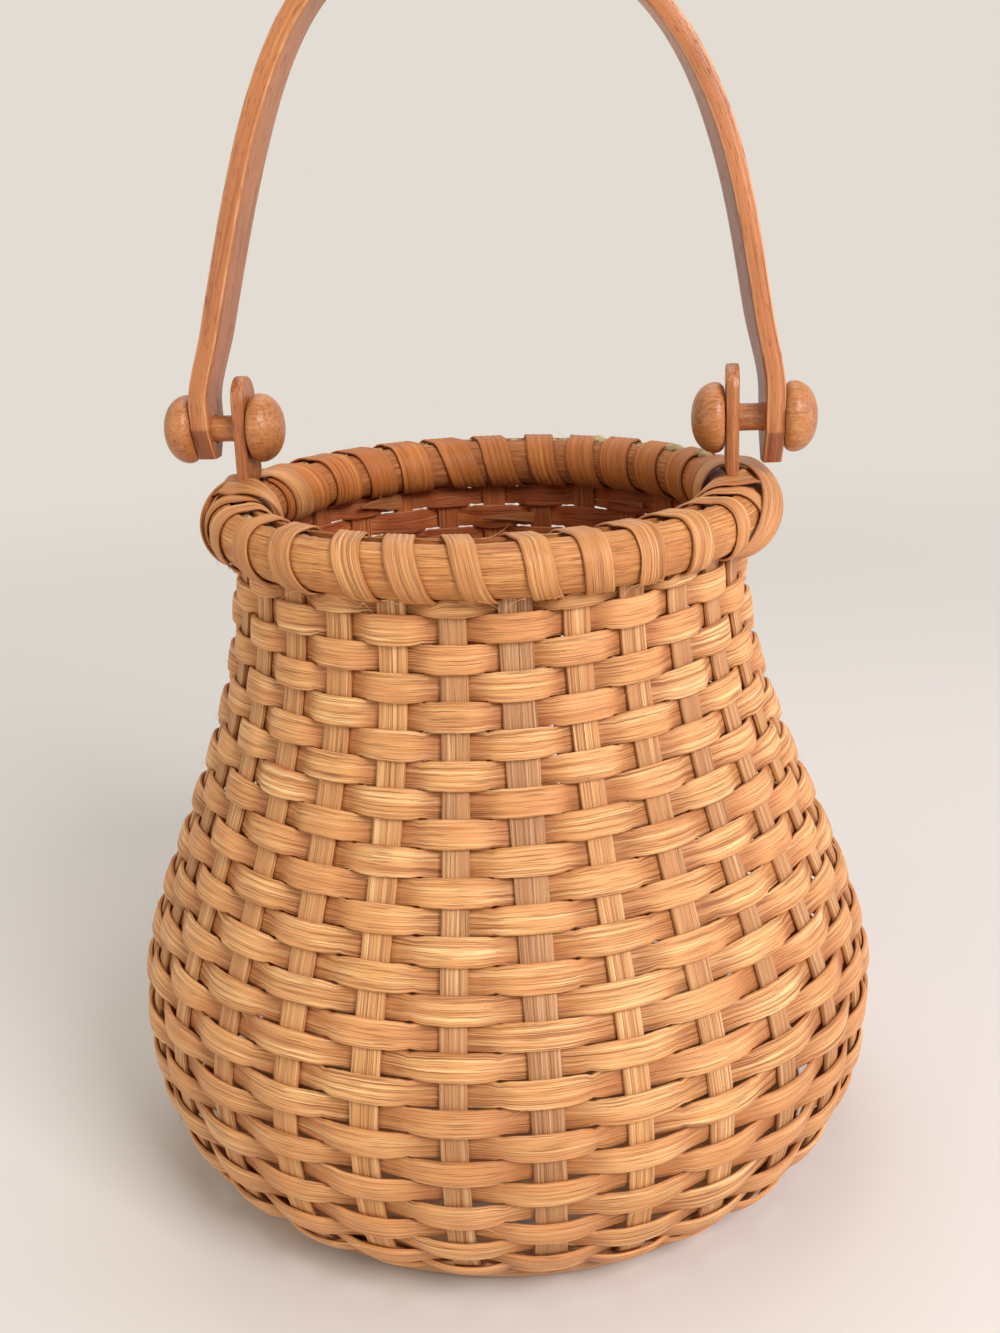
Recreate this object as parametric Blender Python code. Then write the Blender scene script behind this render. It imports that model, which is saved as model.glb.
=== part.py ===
"""An open basket of flat woven strip, with a turned base, a lashed double rim and a swinging hoop handle.

Metres, +Z up. The origin is the middle of the underside. The pins lie along X and the front faces -Y.
Angles round the basket are counted from the front towards +X, and rows of weave from the wall's top down.
"""

import math

import bmesh
import bpy
import numpy as np

# Clearances
PIECE_GAP = 0.0003
ROW_GAP = 0.0004
PIN_CLEARANCE = 0.00015

# Base
BASE_RADIUS = 0.0840
BASE_HEIGHT = 0.0120
BASE_EDGE_HEIGHT = 0.0056
BASE_EDGE_ROUND = 0.0013
BASE_UNDER_INSET = 0.0080
BASE_UNDER_ROUND = 0.0022
GROOVE_DEPTH = 0.0050
SEAT_HEIGHT = 0.0058
BASE_SEGMENTS = 32
BASE_FOOT_RADIUS = BASE_RADIUS - BASE_UNDER_INSET
SEAT_RADIUS = BASE_RADIUS - GROOVE_DEPTH

# Wall: the middle line of the stakes, from the top of the weave over the belly to beside the base
WALL_TOP_RADIUS = 0.0650
WALL_TOP_HEIGHT = 0.1710
WALL_TOP_REACH = 0.0505
BELLY_RADIUS = 0.0996
BELLY_HEIGHT = 0.0490
BELLY_REACH_UP = 0.0306
BELLY_REACH_DOWN = 0.0177
WALL_END_HEIGHT = 0.01125
WALL_END_REACH = 0.0107
WALL_END_SLOPE = math.radians(42.5)
WALL_OVERHANG = 0.0040
WALL_CURVE_POINTS = 240
WALL_END_RADIUS = BASE_RADIUS + WALL_OVERHANG

# Weave
STAKES = 29
FIRST_STAKE_ANGLE = math.radians(-0.75)
STAKE_ANGLE = 2 * math.pi / STAKES
STAKE_WIDTH = 0.0062
STRIP_THICKNESS = 0.0012
ROWS = 26.38
ROWS_BETWEEN_BENDS = (1, 3, 5, 8, 11, 15, 19, 23)
TIGHTENING_SHARE = 0.055
WEAVER_LENGTHS = 6
WEAVER_TAPER_SHARE = 0.6
WEAVER_LAYER = STRIP_THICKNESS + PIECE_GAP
CROSSING_HALF_WIDTH = STAKE_WIDTH / 2 + ROW_GAP

# Rim and lashing
RIM_THICKNESS = 0.0059
RIM_HALF_HEIGHT = 0.00635
RIM_ARC_POINTS = 6
RIM_SEGMENTS = 34
LASHING_THICKNESS = 0.0008
LASHING_WIDTH = 0.0052
LASHING_SLANT = math.radians(45)
LASHING_POINTS = 8
FILLER_RADIUS = 0.0015
FILLER_CORNERS = 6
FILLER_SEGMENTS = 12
EAR_FOOT_THICKNESS = 0.0014
RIM_BOTTOM = WALL_TOP_HEIGHT + LASHING_THICKNESS + 2 * PIECE_GAP
RIM_MIDDLE = RIM_BOTTOM + RIM_HALF_HEIGHT
RIM_TOP = RIM_MIDDLE + RIM_HALF_HEIGHT
STAKE_INNER_RADIUS = WALL_TOP_RADIUS - STRIP_THICKNESS / 2
OUTER_RIM_FLAT = WALL_TOP_RADIUS + STRIP_THICKNESS / 2 + PIECE_GAP
EAR_FOOT_SLACK = 0.0006
INNER_RIM_FLAT = STAKE_INNER_RADIUS - EAR_FOOT_SLACK - EAR_FOOT_THICKNESS - PIECE_GAP
FILLER_MIDDLE_RADIUS = (OUTER_RIM_FLAT + INNER_RIM_FLAT) / 2
FILLER_HEIGHT = RIM_TOP - FILLER_RADIUS
STAKE_TOP = FILLER_HEIGHT - FILLER_RADIUS - PIECE_GAP

# Pins, ears and knobs
PIN_ABOVE_RIM = 0.0156
PIN_RADIUS = 0.0035
KNOB_RADIUS = 0.0089
KNOB_LENGTH = 0.0083
KNOB_FACE_RADIUS = 0.0078
KNOB_EDGE_LENGTH = 0.0017
KNOB_DOME_POINTS = 4
KNOB_BORE_DEPTH = 0.0060
TURNED_SEGMENTS = 16
EAR_WIDTH = 0.0130
EAR_THICKNESS = 0.0033
EAR_HEAD_STEP = 0.0010
EAR_ABOVE_PIN = 0.0135
EAR_SHOULDER_HEIGHT = 0.0024
EAR_ARC_POINTS = 5
EAR_TIP_ANGLE = math.radians(78)
PIN_HEIGHT = RIM_TOP + PIN_ABOVE_RIM
EAR_FOOT_X = INNER_RIM_FLAT + PIECE_GAP
EAR_INNER_X = EAR_FOOT_X - EAR_HEAD_STEP
INNER_KNOB_FACE_X = EAR_INNER_X - PIECE_GAP

# Handle
HANDLE_WIDTH = 0.0140
HANDLE_THICKNESS = 0.0047
HANDLE_BEVEL = 0.0008
EAR_TO_HANDLE = 0.0063
HANDLE_FOOT_BELOW_PIN = 0.0080
HANDLE_UPRIGHT = 0.0060
HANDLE_LEAN = math.radians(12.0)
HANDLE_LEAN_TOP = 0.0260
HANDLE_LEG_REACH = 0.0780
HANDLE_CROWN_REACH = 0.0340
HANDLE_RISE = 0.1170
HANDLE_ARCH_POINTS = 10
HANDLE_FOOT_POINTS = 4
HANDLE_TIP_ANGLE = math.radians(20)
HANDLE_LEG_X = EAR_INNER_X + EAR_THICKNESS + EAR_TO_HANDLE + HANDLE_THICKNESS / 2
OUTER_KNOB_FACE_X = HANDLE_LEG_X + HANDLE_THICKNESS / 2 + PIECE_GAP

SHARP_ANGLE = math.radians(40)


def clear_scene():
    for old in list(bpy.data.objects):
        bpy.data.objects.remove(old, do_unlink=True)


def make_material(name, colour, roughness):
    material = bpy.data.materials.new(name)
    material.use_nodes = True
    shader = material.node_tree.nodes["Principled BSDF"]
    shader.inputs["Base Color"].default_value = (*colour, 1.0)
    shader.inputs["Roughness"].default_value = roughness
    shader.inputs["Metallic"].default_value = 0.0
    return material


def add_object(name, points, faces, material, parent, location=(0.0, 0.0, 0.0)):
    """A closed mesh object with its faces turned out, smooth but for its sharp edges."""
    mesh = bpy.data.meshes.new(name)
    mesh.from_pydata(np.asarray(points).reshape(-1, 3).tolist(), [], faces)
    shape = bmesh.new()
    shape.from_mesh(mesh)
    bmesh.ops.recalc_face_normals(shape, faces=shape.faces)
    shape.to_mesh(mesh)
    shape.free()
    mesh.shade_smooth()
    mesh.set_sharp_from_angle(angle=SHARP_ANGLE)
    mesh.materials.append(material)
    body = bpy.data.objects.new(name, mesh)
    bpy.context.scene.collection.objects.link(body)
    body.parent = parent
    body.location = location
    return body


def ring_faces(rings, corners, closed):
    """Four-sided faces between successive sections, with a cap at each end unless the rings close."""
    faces = []
    for ring in range(rings if closed else rings - 1):
        here = ring * corners
        there = (ring + 1) % rings * corners
        for corner in range(corners):
            after = (corner + 1) % corners
            faces.append((here + corner, here + after, there + after, there + corner))
    if not closed:
        faces.append(tuple(range(corners)))
        faces.append(tuple(range((rings - 1) * corners, rings * corners)))
    return faces


def sweep(name, sections, material, parent, closed=False, location=(0.0, 0.0, 0.0)):
    """One body through sections that all have the same number of corners."""
    sections = np.asarray(sections)
    faces = ring_faces(sections.shape[0], sections.shape[1], closed)
    return add_object(name, sections, faces, material, parent, location)


def turned(name, profile, segments, axes, material, parent, location=(0.0, 0.0, 0.0)):
    """A solid of revolution. The profile holds (radius, distance along the axis) and starts and ends on the axis.

    axes are the three directions that stand for the turning axis and the two across it.
    """
    along, across, up = np.array(axes)
    angles = np.linspace(0.0, 2 * math.pi, segments, endpoint=False)
    circle = np.cos(angles)[:, None] * across + np.sin(angles)[:, None] * up
    rings = [radius * circle + distance * along for radius, distance in profile[1:-1]]
    points = [profile[0][1] * along, *np.vstack(rings), profile[-1][1] * along]
    faces = [tuple(1 + corner for corner in face) for face in ring_faces(len(rings), segments, False)[:-2]]
    last = len(points) - 1
    for corner in range(segments):
        after = (corner + 1) % segments
        faces.append((0, 1 + after, 1 + corner))
        faces.append((last, last - segments + corner, last - segments + after))
    return add_object(name, points, faces, material, parent, location)


def bezier(start, start_handle, end_handle, end, count):
    """Points of a cubic curve, evenly spaced in its parameter."""
    share = np.linspace(0.0, 1.0, count)[:, None]
    rest = 1.0 - share
    return (
        rest**3 * start
        + 3 * rest**2 * share * start_handle
        + 3 * rest * share**2 * end_handle
        + share**3 * end
    )


def outward(angle):
    """The level direction away from the basket's axis, this far round from the front."""
    return np.array([math.sin(angle), -math.cos(angle), 0.0])


def sideways(angle):
    """The level direction along the wall, towards a larger angle."""
    return np.array([math.cos(angle), math.sin(angle), 0.0])


def placed(point, angle):
    """The place in space of a (radius, height) point, this far round."""
    return point[0] * outward(angle) + np.array([0.0, 0.0, point[1]])


def wall_line():
    """(radius, height) points down the middle of the wall, upright at its top and at the belly."""
    up = np.array([0.0, 1.0])
    top = np.array([WALL_TOP_RADIUS, WALL_TOP_HEIGHT])
    belly = np.array([BELLY_RADIUS, BELLY_HEIGHT])
    end = np.array([WALL_END_RADIUS, WALL_END_HEIGHT])
    leaving = np.array([math.cos(WALL_END_SLOPE), math.sin(WALL_END_SLOPE)])
    upper = bezier(
        top, top - WALL_TOP_REACH * up, belly + BELLY_REACH_UP * up, belly, WALL_CURVE_POINTS
    )
    lower = bezier(
        belly, belly - BELLY_REACH_DOWN * up, end + WALL_END_REACH * leaving, end, WALL_CURVE_POINTS
    )
    return np.vstack([upper, lower[1:]])


WALL = wall_line()
WALL_LENGTHS = np.concatenate([[0.0], np.cumsum(np.linalg.norm(np.diff(WALL, axis=0), axis=1))])


def wall_at(rows):
    """(radius, height) on the wall, this many rows down. The rows get narrower towards the base."""
    share = rows / ROWS
    length = WALL_LENGTHS[-1] * (share + TIGHTENING_SHARE * share * (1 - share**2))
    return np.array([np.interp(length, WALL_LENGTHS, WALL[:, axis]) for axis in (0, 1)])


def stake_bends(stake):
    """Where a stake bends, in rows down the wall: always between two rows, so that each row lies flat on it."""
    first_edge = ROWS - stake / STAKES
    inner = [first_edge - rows for rows in reversed(ROWS_BETWEEN_BENDS)]
    return np.array([0.0, *inner, ROWS])


def stake_point(stake, rows):
    """(radius, height) on the straight stretches of a stake's middle line."""
    bends = stake_bends(stake)
    points = np.array([wall_at(bend) for bend in bends])
    return np.array([np.interp(rows, bends, points[:, axis]) for axis in (0, 1)])


def stake_angle(stake):
    return FIRST_STAKE_ANGLE + stake * STAKE_ANGLE


def down_and_out(above, below):
    """The direction from one (radius, height) point down to another, and the wall's outward normal there."""
    down = (below - above) / np.linalg.norm(below - above)
    return down, np.array([-down[1], down[0]])


def mitred_offsets(path, half_thickness):
    """For each point of a (radius, height) path, the step to a strip's outer face that keeps its thickness."""
    normals = [down_and_out(*pair)[1] for pair in zip(path[:-1], path[1:])]
    steps = []
    for before, after in zip([normals[0], *normals], [*normals, normals[-1]]):
        middle = before + after
        steps.append(half_thickness * 2 * middle / (middle @ middle))
    return steps


def make_stake(stake, material, parent):
    """A flat upright strip from the groove in the base up between the rims."""
    angle = stake_angle(stake)
    top = np.array([WALL_TOP_RADIUS, STAKE_TOP])
    seat = np.array([SEAT_RADIUS, SEAT_HEIGHT])
    path = [top, *[wall_at(rows) for rows in stake_bends(stake)], seat]
    half_width = STAKE_WIDTH / 2 * sideways(angle)
    sections = []
    for point, step in zip(path, mitred_offsets(path, STRIP_THICKNESS / 2)):
        outer = placed(point + step, angle)
        inner = placed(point - step, angle)
        sections.append((outer - half_width, outer + half_width, inner + half_width, inner - half_width))
    return sweep(f"stake_{stake + 1:02d}", sections, material, parent)


def weaver_section(crossing, shift):
    """The weaver's four corners beside a stake, shifted along the wall from the stake's middle line.

    Crossings are counted from the base upwards. Odd ones lie outside their stake and even ones inside it.
    The upper and lower edges stay within the wall, so the weaver tapers where it starts and ends.
    """
    stake = crossing % STAKES
    angle = stake_angle(stake)
    upper_edge = ROWS - crossing / STAKES
    above = stake_point(stake, max(upper_edge, 0.0))
    below = stake_point(stake, min(upper_edge + 1, ROWS))
    down, out = down_and_out(above, below)
    layer = WEAVER_LAYER if crossing % 2 else -WEAVER_LAYER
    corners = []
    for edge, side in ((above + ROW_GAP / 2 * down, 1), (below - ROW_GAP / 2 * down, -1)):
        for face in (side, -side):
            corner = edge + (layer + face * STRIP_THICKNESS / 2) * out
            corners.append(placed(corner, angle) + shift * sideways(angle))
    return corners


def make_weavers(material, parent):
    """The spiral of weave, as successive lengths whose ends meet out of sight on the inside of a stake."""
    first = math.ceil(WEAVER_TAPER_SHARE * STAKES)
    last = math.floor((ROWS + 1 - WEAVER_TAPER_SHARE) * STAKES)
    splices = [round(value / 2) * 2 for value in np.linspace(first, last, WEAVER_LENGTHS + 1)[1:-1]]
    starts = [first, *splices]
    ends = [*splices, last]
    for number, (start, end) in enumerate(zip(starts, ends), start=1):
        sections = []
        for crossing in range(start, end + 1):
            near = PIECE_GAP if crossing == start and number > 1 else -CROSSING_HALF_WIDTH
            far = -PIECE_GAP if crossing == end and number < WEAVER_LENGTHS else CROSSING_HALF_WIDTH
            sections.append(weaver_section(crossing, near))
            sections.append(weaver_section(crossing, far))
        sweep(f"weaver_{number}", sections, material, parent)


def make_base(material, parent):
    """The turned disc, with a slanting groove round its edge that seats the stakes."""
    wall_end = np.array([WALL_END_RADIUS, WALL_END_HEIGHT])
    seat = np.array([SEAT_RADIUS, SEAT_HEIGHT])
    inward, out = down_and_out(wall_end, seat)
    half_groove = STRIP_THICKNESS / 2 + PIECE_GAP
    floor = seat + PIECE_GAP * inward
    lower_floor = floor + half_groove * out
    upper_floor = floor - half_groove * out
    climb = inward[1] / inward[0]
    lower_mouth = lower_floor[1] + (BASE_RADIUS - lower_floor[0]) * climb
    upper_mouth = upper_floor[1] + (BASE_RADIUS - upper_floor[0]) * climb
    profile = [
        (0.0, 0.0),
        (BASE_FOOT_RADIUS, 0.0),
        ((BASE_FOOT_RADIUS + 2 * BASE_RADIUS) / 3, BASE_UNDER_ROUND),
        (BASE_RADIUS, BASE_EDGE_HEIGHT),
        (BASE_RADIUS, lower_mouth),
        tuple(lower_floor),
        tuple(upper_floor),
        (BASE_RADIUS, upper_mouth),
        (BASE_RADIUS, BASE_HEIGHT - BASE_EDGE_ROUND),
        (BASE_RADIUS - BASE_EDGE_ROUND, BASE_HEIGHT),
        (0.0, BASE_HEIGHT),
    ]
    axes = ((0, 0, 1), (1, 0, 0), (0, 1, 0))
    return turned("base", profile, BASE_SEGMENTS, axes, material, parent)


def half_round(flat_radius, side):
    """A rim's (radius, height) corners: flat against the wall, rounded on the side away from it."""
    angles = np.linspace(-math.pi / 2, math.pi / 2, RIM_ARC_POINTS)
    return np.column_stack(
        [
            flat_radius + side * RIM_THICKNESS * np.cos(angles),
            RIM_MIDDLE + RIM_HALF_HEIGHT * np.sin(angles),
        ]
    )


def make_rim(name, flat_radius, side, material, parent):
    """A half-round hoop. The outer one is widened so that its flats clear the stakes."""
    widening = 1 / math.cos(math.pi / RIM_SEGMENTS) if side > 0 else 1.0
    corners = half_round(flat_radius, side) * np.array([widening, 1.0])
    angles = np.linspace(0.0, 2 * math.pi, RIM_SEGMENTS, endpoint=False)
    sections = [[placed(corner, angle) for corner in corners] for angle in angles]
    return sweep(name, sections, material, parent, closed=True)


def make_filler(name, middle_angle, material, parent):
    """A cord in the slot between the rims, from one ear round to the other."""
    ear_angle = math.asin((EAR_WIDTH / 2 + PIECE_GAP) / FILLER_MIDDLE_RADIUS)
    half_arc = math.pi / 2 - ear_angle
    turns = np.linspace(0.0, 2 * math.pi, FILLER_CORNERS, endpoint=False) + math.pi / 2
    sections = []
    for angle in np.linspace(middle_angle - half_arc, middle_angle + half_arc, FILLER_SEGMENTS + 1):
        sections.append(
            [
                placed(
                    (
                        FILLER_MIDDLE_RADIUS + FILLER_RADIUS * math.cos(turn),
                        FILLER_HEIGHT + FILLER_RADIUS * math.sin(turn),
                    ),
                    angle,
                )
                for turn in turns
            ]
        )
    return sweep(name, sections, material, parent)


def lashing_outline():
    """The (radius, height) corners of one turn of lashing round both rims: eight straight stretches.

    It starts at the outside's upper corner and goes down, under, up the inside and over. On each side its
    upright, slanting and level stretches touch the rim's half-ellipse, grown by the gap and the lashing.
    """
    margin = PIECE_GAP + LASHING_THICKNESS / 2
    half_height = RIM_HALF_HEIGHT + margin
    widening = OUTER_RIM_FLAT * (1 / math.cos(math.pi / RIM_SEGMENTS) - 1)
    depth = RIM_THICKNESS + widening + margin
    touching = math.hypot(depth * math.cos(LASHING_SLANT), half_height * math.sin(LASHING_SLANT))
    side_height = (touching - depth * math.cos(LASHING_SLANT)) / math.sin(LASHING_SLANT)
    end_depth = (touching - half_height * math.sin(LASHING_SLANT)) / math.cos(LASHING_SLANT)
    side = [(depth, side_height), (depth, -side_height), (end_depth, -half_height)]
    outer = [(OUTER_RIM_FLAT + across, RIM_MIDDLE + rise) for across, rise in side]
    inner = [(INNER_RIM_FLAT - across, RIM_MIDDLE - rise) for across, rise in side]
    under = (INNER_RIM_FLAT - end_depth, RIM_MIDDLE - half_height)
    over = (OUTER_RIM_FLAT + end_depth, RIM_MIDDLE + half_height)
    return np.array([*outer, under, (inner[1][0], inner[1][1] - 2 * side_height), inner[1], inner[2], over])


def least_gap(sections, apart):
    """The least distance between corners of sections that lie at least this many sections apart."""
    least = math.inf
    for first in range(len(sections) - apart):
        steps = sections[first + apart :, :, None, :] - sections[first][None, None, :, :]
        least = min(least, float(np.linalg.norm(steps, axis=-1).min()))
    return least


def make_lashing(name, first_gap, last_gap, material, parent):
    """A flat strip wound over both rims, passing under them in each gap between stakes.

    Gaps are counted from the one after the first stake. The ends stop on the rims' sides, beside the ears.
    """
    outline = lashing_outline()
    following = np.roll(outline, -1, axis=0)
    leading = np.roll(outline, 1, axis=0)
    sections = []
    start = first_gap * LASHING_POINTS
    stop = last_gap * LASHING_POINTS + LASHING_POINTS - 2
    for step in range(start, stop):
        place = step % LASHING_POINTS
        angle = FIRST_STAKE_ANGLE + STAKE_ANGLE * (0.5 + (step - 2.5) / LASHING_POINTS)
        before = down_and_out(leading[place], outline[place])[1]
        after = down_and_out(outline[place], following[place])[1]
        middle = before + after
        thick = LASHING_THICKNESS * middle / (middle @ middle)
        wide = LASHING_WIDTH / 2 * sideways(angle)
        outer = placed(outline[place] + thick, angle)
        inner = placed(outline[place] - thick, angle)
        sections.append((outer - wide, outer + wide, inner + wide, inner - wide))
    sections = np.array(sections)
    gap = least_gap(sections, LASHING_POINTS - 1)
    print(f"{name}: least gap between its turns {1000 * gap:.2f} mm")
    return sweep(name, sections, material, parent)


def make_ear(name, side, material, parent):
    """A wooden tongue: a thin foot between the stakes and the inner rim, and a thicker round head above."""
    half_width = EAR_WIDTH / 2
    foot = (EAR_FOOT_X, EAR_FOOT_X + EAR_FOOT_THICKNESS)
    head = (EAR_INNER_X, EAR_INNER_X + EAR_THICKNESS)
    shoulder = RIM_TOP + PIECE_GAP
    arc_centre = PIN_HEIGHT + EAR_ABOVE_PIN - half_width
    levels = [(RIM_BOTTOM, half_width, foot), (shoulder, half_width, foot)]
    levels.append((shoulder + EAR_SHOULDER_HEIGHT, half_width, head))
    for turn in np.linspace(0.0, EAR_TIP_ANGLE, EAR_ARC_POINTS):
        levels.append((arc_centre + half_width * math.sin(turn), half_width * math.cos(turn), head))
    sections = []
    for height, half, (near, far) in levels:
        z = height - PIN_HEIGHT
        sections.append(
            [(side * near, -half, z), (side * far, -half, z), (side * far, half, z), (side * near, half, z)]
        )
    return sweep(name, sections, material, parent, location=(0.0, 0.0, PIN_HEIGHT))


def knob_dome(face_x):
    """(radius, distance) points of a knob: a flat face towards the wood it holds, and a domed end."""
    widest = face_x + KNOB_EDGE_LENGTH
    points = [(KNOB_FACE_RADIUS, face_x)]
    for turn in np.linspace(0.0, math.pi / 2, KNOB_DOME_POINTS + 1):
        reach = (KNOB_LENGTH - KNOB_EDGE_LENGTH) * math.sin(turn)
        points.append((KNOB_RADIUS * math.cos(turn), widest + reach))
    points[-1] = (0.0, face_x + KNOB_LENGTH)
    return points


def axes_along_x(side):
    return ((side, 0, 0), (0, side, 0), (0, 0, 1))


def make_pin(name, side, material, parent):
    """A dowel through the ear and the foot of the handle, turned in one piece with its outer knob."""
    inner_end = INNER_KNOB_FACE_X - KNOB_BORE_DEPTH + PIECE_GAP
    dowel = [(0.0, inner_end), (PIN_RADIUS, inner_end), (PIN_RADIUS, OUTER_KNOB_FACE_X)]
    profile = [*dowel, *knob_dome(OUTER_KNOB_FACE_X)]
    location = (0.0, 0.0, PIN_HEIGHT)
    return turned(name, profile, TURNED_SEGMENTS, axes_along_x(side), material, parent, location)


def make_inner_knob(name, side, material, parent):
    """A knob with a blind bore, pushed onto the inner end of a pin."""
    bore = PIN_RADIUS + PIN_CLEARANCE
    profile = [(0.0, KNOB_BORE_DEPTH), (bore, KNOB_BORE_DEPTH), (bore, 0.0), *knob_dome(0.0)]
    location = (side * INNER_KNOB_FACE_X, 0.0, PIN_HEIGHT)
    return turned(name, profile, TURNED_SEGMENTS, axes_along_x(-side), material, parent, location)


def handle_half():
    """(x, height above the pins) points from the foot of one leg to just before the crown.

    The foot is upright where it holds the pin, then the leg leans in and curves over into the crown.
    """
    radius = HANDLE_WIDTH / 2
    turns = np.linspace(HANDLE_TIP_ANGLE, math.pi / 2, HANDLE_FOOT_POINTS)
    points = [(HANDLE_LEG_X, radius * (1 - math.cos(turn)) - HANDLE_FOOT_BELOW_PIN) for turn in turns]
    points.append((HANDLE_LEG_X, HANDLE_UPRIGHT))
    lean = np.array([-math.sin(HANDLE_LEAN), math.cos(HANDLE_LEAN)])
    leaned = (HANDLE_LEAN_TOP - HANDLE_UPRIGHT) * math.tan(HANDLE_LEAN)
    start = np.array([HANDLE_LEG_X - leaned, HANDLE_LEAN_TOP])
    crown = np.array([0.0, HANDLE_RISE])
    crown_handle = crown + np.array([HANDLE_CROWN_REACH, 0.0])
    arch = bezier(start, start + HANDLE_LEG_REACH * lean, crown_handle, crown, HANDLE_ARCH_POINTS)
    half_widths = [radius * math.sin(turn) for turn in turns] + [radius] * (len(arch) + 1)
    return np.array([*points, *arch]), half_widths


def make_handle(material, parent):
    """One bent strip, with its edges bevelled and its feet rounded."""
    right, half_widths = handle_half()
    left = right[-2::-1] * np.array([-1.0, 1.0])
    path = [*right, *left]
    half_widths = [*half_widths, *half_widths[-2::-1]]
    steps = mitred_offsets(path, HANDLE_THICKNESS / 2)
    sections = []
    for (x, z), (step_x, step_z), half in zip(path, steps, half_widths):
        point = np.array([x, 0.0, z])
        thick = np.array([step_x, 0.0, step_z])
        thick_share = 1 - 2 * HANDLE_BEVEL / HANDLE_THICKNESS
        wide = np.array([0.0, half, 0.0])
        wide_share = 1 - HANDLE_BEVEL / half
        corners = []
        for across, through in ((1, 1), (-1, 1), (-1, -1), (1, -1)):
            flat = point + across * wide_share * wide + through * thick
            edge = point + across * wide + through * thick_share * thick
            corners += [edge, flat] if across == through else [flat, edge]
        sections.append(corners)
    return sweep("handle", sections, material, parent, location=(0.0, 0.0, PIN_HEIGHT))


def make_bore_cutter(material, parent):
    """A long rod along the pins' line that cuts the holes in the ears and the handle's feet."""
    reach = 2 * HANDLE_LEG_X
    bore = PIN_RADIUS + PIN_CLEARANCE
    profile = [(0.0, -reach), (bore, -reach), (bore, reach), (0.0, reach)]
    location = (0.0, 0.0, PIN_HEIGHT)
    rod = turned("bore_cutter", profile, TURNED_SEGMENTS, axes_along_x(1), material, parent, location)
    rod.hide_render = True
    rod.display_type = "WIRE"
    return rod


def cut_bore(body, cutter):
    cut = body.modifiers.new("pin_bore", "BOOLEAN")
    cut.operation = "DIFFERENCE"
    cut.solver = "EXACT"
    cut.object = cutter


def build():
    clear_scene()
    stake_reed = make_material("stake_reed", (0.47, 0.31, 0.15), 0.62)
    weaver_reed = make_material("weaver_reed", (0.60, 0.38, 0.16), 0.55)
    rim_reed = make_material("rim_reed", (0.66, 0.42, 0.17), 0.50)
    seagrass = make_material("seagrass", (0.50, 0.44, 0.25), 0.80)
    cane = make_material("lashing_cane", (0.55, 0.33, 0.14), 0.45)
    base_wood = make_material("base_wood", (0.45, 0.26, 0.12), 0.45)
    ear_wood = make_material("ear_wood", (0.40, 0.20, 0.08), 0.40)
    handle_wood = make_material("handle_wood", (0.42, 0.20, 0.08), 0.38)
    knob_wood = make_material("knob_wood", (0.52, 0.34, 0.16), 0.42)

    basket = bpy.data.objects.new("basket", None)
    bpy.context.scene.collection.objects.link(basket)

    make_base(base_wood, basket)
    for stake in range(STAKES):
        make_stake(stake, stake_reed, basket)
    make_weavers(weaver_reed, basket)
    make_rim("outer_rim", OUTER_RIM_FLAT, 1, rim_reed, basket)
    make_rim("inner_rim", INNER_RIM_FLAT, -1, rim_reed, basket)
    make_filler("rim_filler_front", 0.0, seagrass, basket)
    make_filler("rim_filler_back", math.pi, seagrass, basket)

    ear_halfway = math.pi / 2
    gap_angles = FIRST_STAKE_ANGLE + STAKE_ANGLE * (np.arange(STAKES) + 0.5)
    clear_angle = math.asin((EAR_WIDTH / 2 + LASHING_WIDTH / 2 + PIECE_GAP) / FILLER_MIDDLE_RADIUS)
    right = [gap for gap in range(STAKES) if gap_angles[gap] < ear_halfway - clear_angle]
    back = [
        gap
        for gap in range(STAKES)
        if ear_halfway + clear_angle < gap_angles[gap] < 3 * ear_halfway - clear_angle
    ]
    left = [gap for gap in range(STAKES) if gap_angles[gap] > 3 * ear_halfway + clear_angle]
    make_lashing("lashing_front", left[0] - STAKES, right[-1], cane, basket)
    make_lashing("lashing_back", back[0], back[-1], cane, basket)

    cutter = make_bore_cutter(knob_wood, basket)
    for name, side in (("left", -1), ("right", 1)):
        cut_bore(make_ear(f"ear_{name}", side, ear_wood, basket), cutter)
        make_pin(f"pin_{name}", side, knob_wood, basket)
        make_inner_knob(f"inner_knob_{name}", side, knob_wood, basket)
    cut_bore(make_handle(handle_wood, basket), cutter)


build()
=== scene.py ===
"""An open basket of flat woven reed with a swinging hoop handle, dressed piece by piece over its CAD frame.

Metres, +Z up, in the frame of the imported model. The pins lie along X and the front faces -Y. Angles round the
basket are counted from the front towards +X, and rows of weave from the wall's top down.
"""

import logging
import math
from collections.abc import Mapping, Sequence
from dataclasses import dataclass, field
from enum import Enum

import bpy
import numpy as np
from mathutils import Matrix, Vector


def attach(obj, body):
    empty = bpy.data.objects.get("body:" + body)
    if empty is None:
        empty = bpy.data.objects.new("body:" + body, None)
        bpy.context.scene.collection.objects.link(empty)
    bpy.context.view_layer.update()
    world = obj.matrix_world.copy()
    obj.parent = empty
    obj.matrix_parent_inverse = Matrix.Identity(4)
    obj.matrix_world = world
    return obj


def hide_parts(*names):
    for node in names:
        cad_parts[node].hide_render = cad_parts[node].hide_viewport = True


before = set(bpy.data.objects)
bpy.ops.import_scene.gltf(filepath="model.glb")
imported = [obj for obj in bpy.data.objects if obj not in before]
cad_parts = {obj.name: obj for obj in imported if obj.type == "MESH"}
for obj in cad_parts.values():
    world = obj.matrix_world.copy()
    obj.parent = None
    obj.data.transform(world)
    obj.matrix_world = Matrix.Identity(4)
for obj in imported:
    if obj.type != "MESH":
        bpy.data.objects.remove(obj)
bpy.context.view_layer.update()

LOG = logging.getLogger("basket")
SEED = 29
SHARP_ANGLE = math.radians(52)
STRIP_UV = "Strip"
Colour = tuple[float, float, float]


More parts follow.
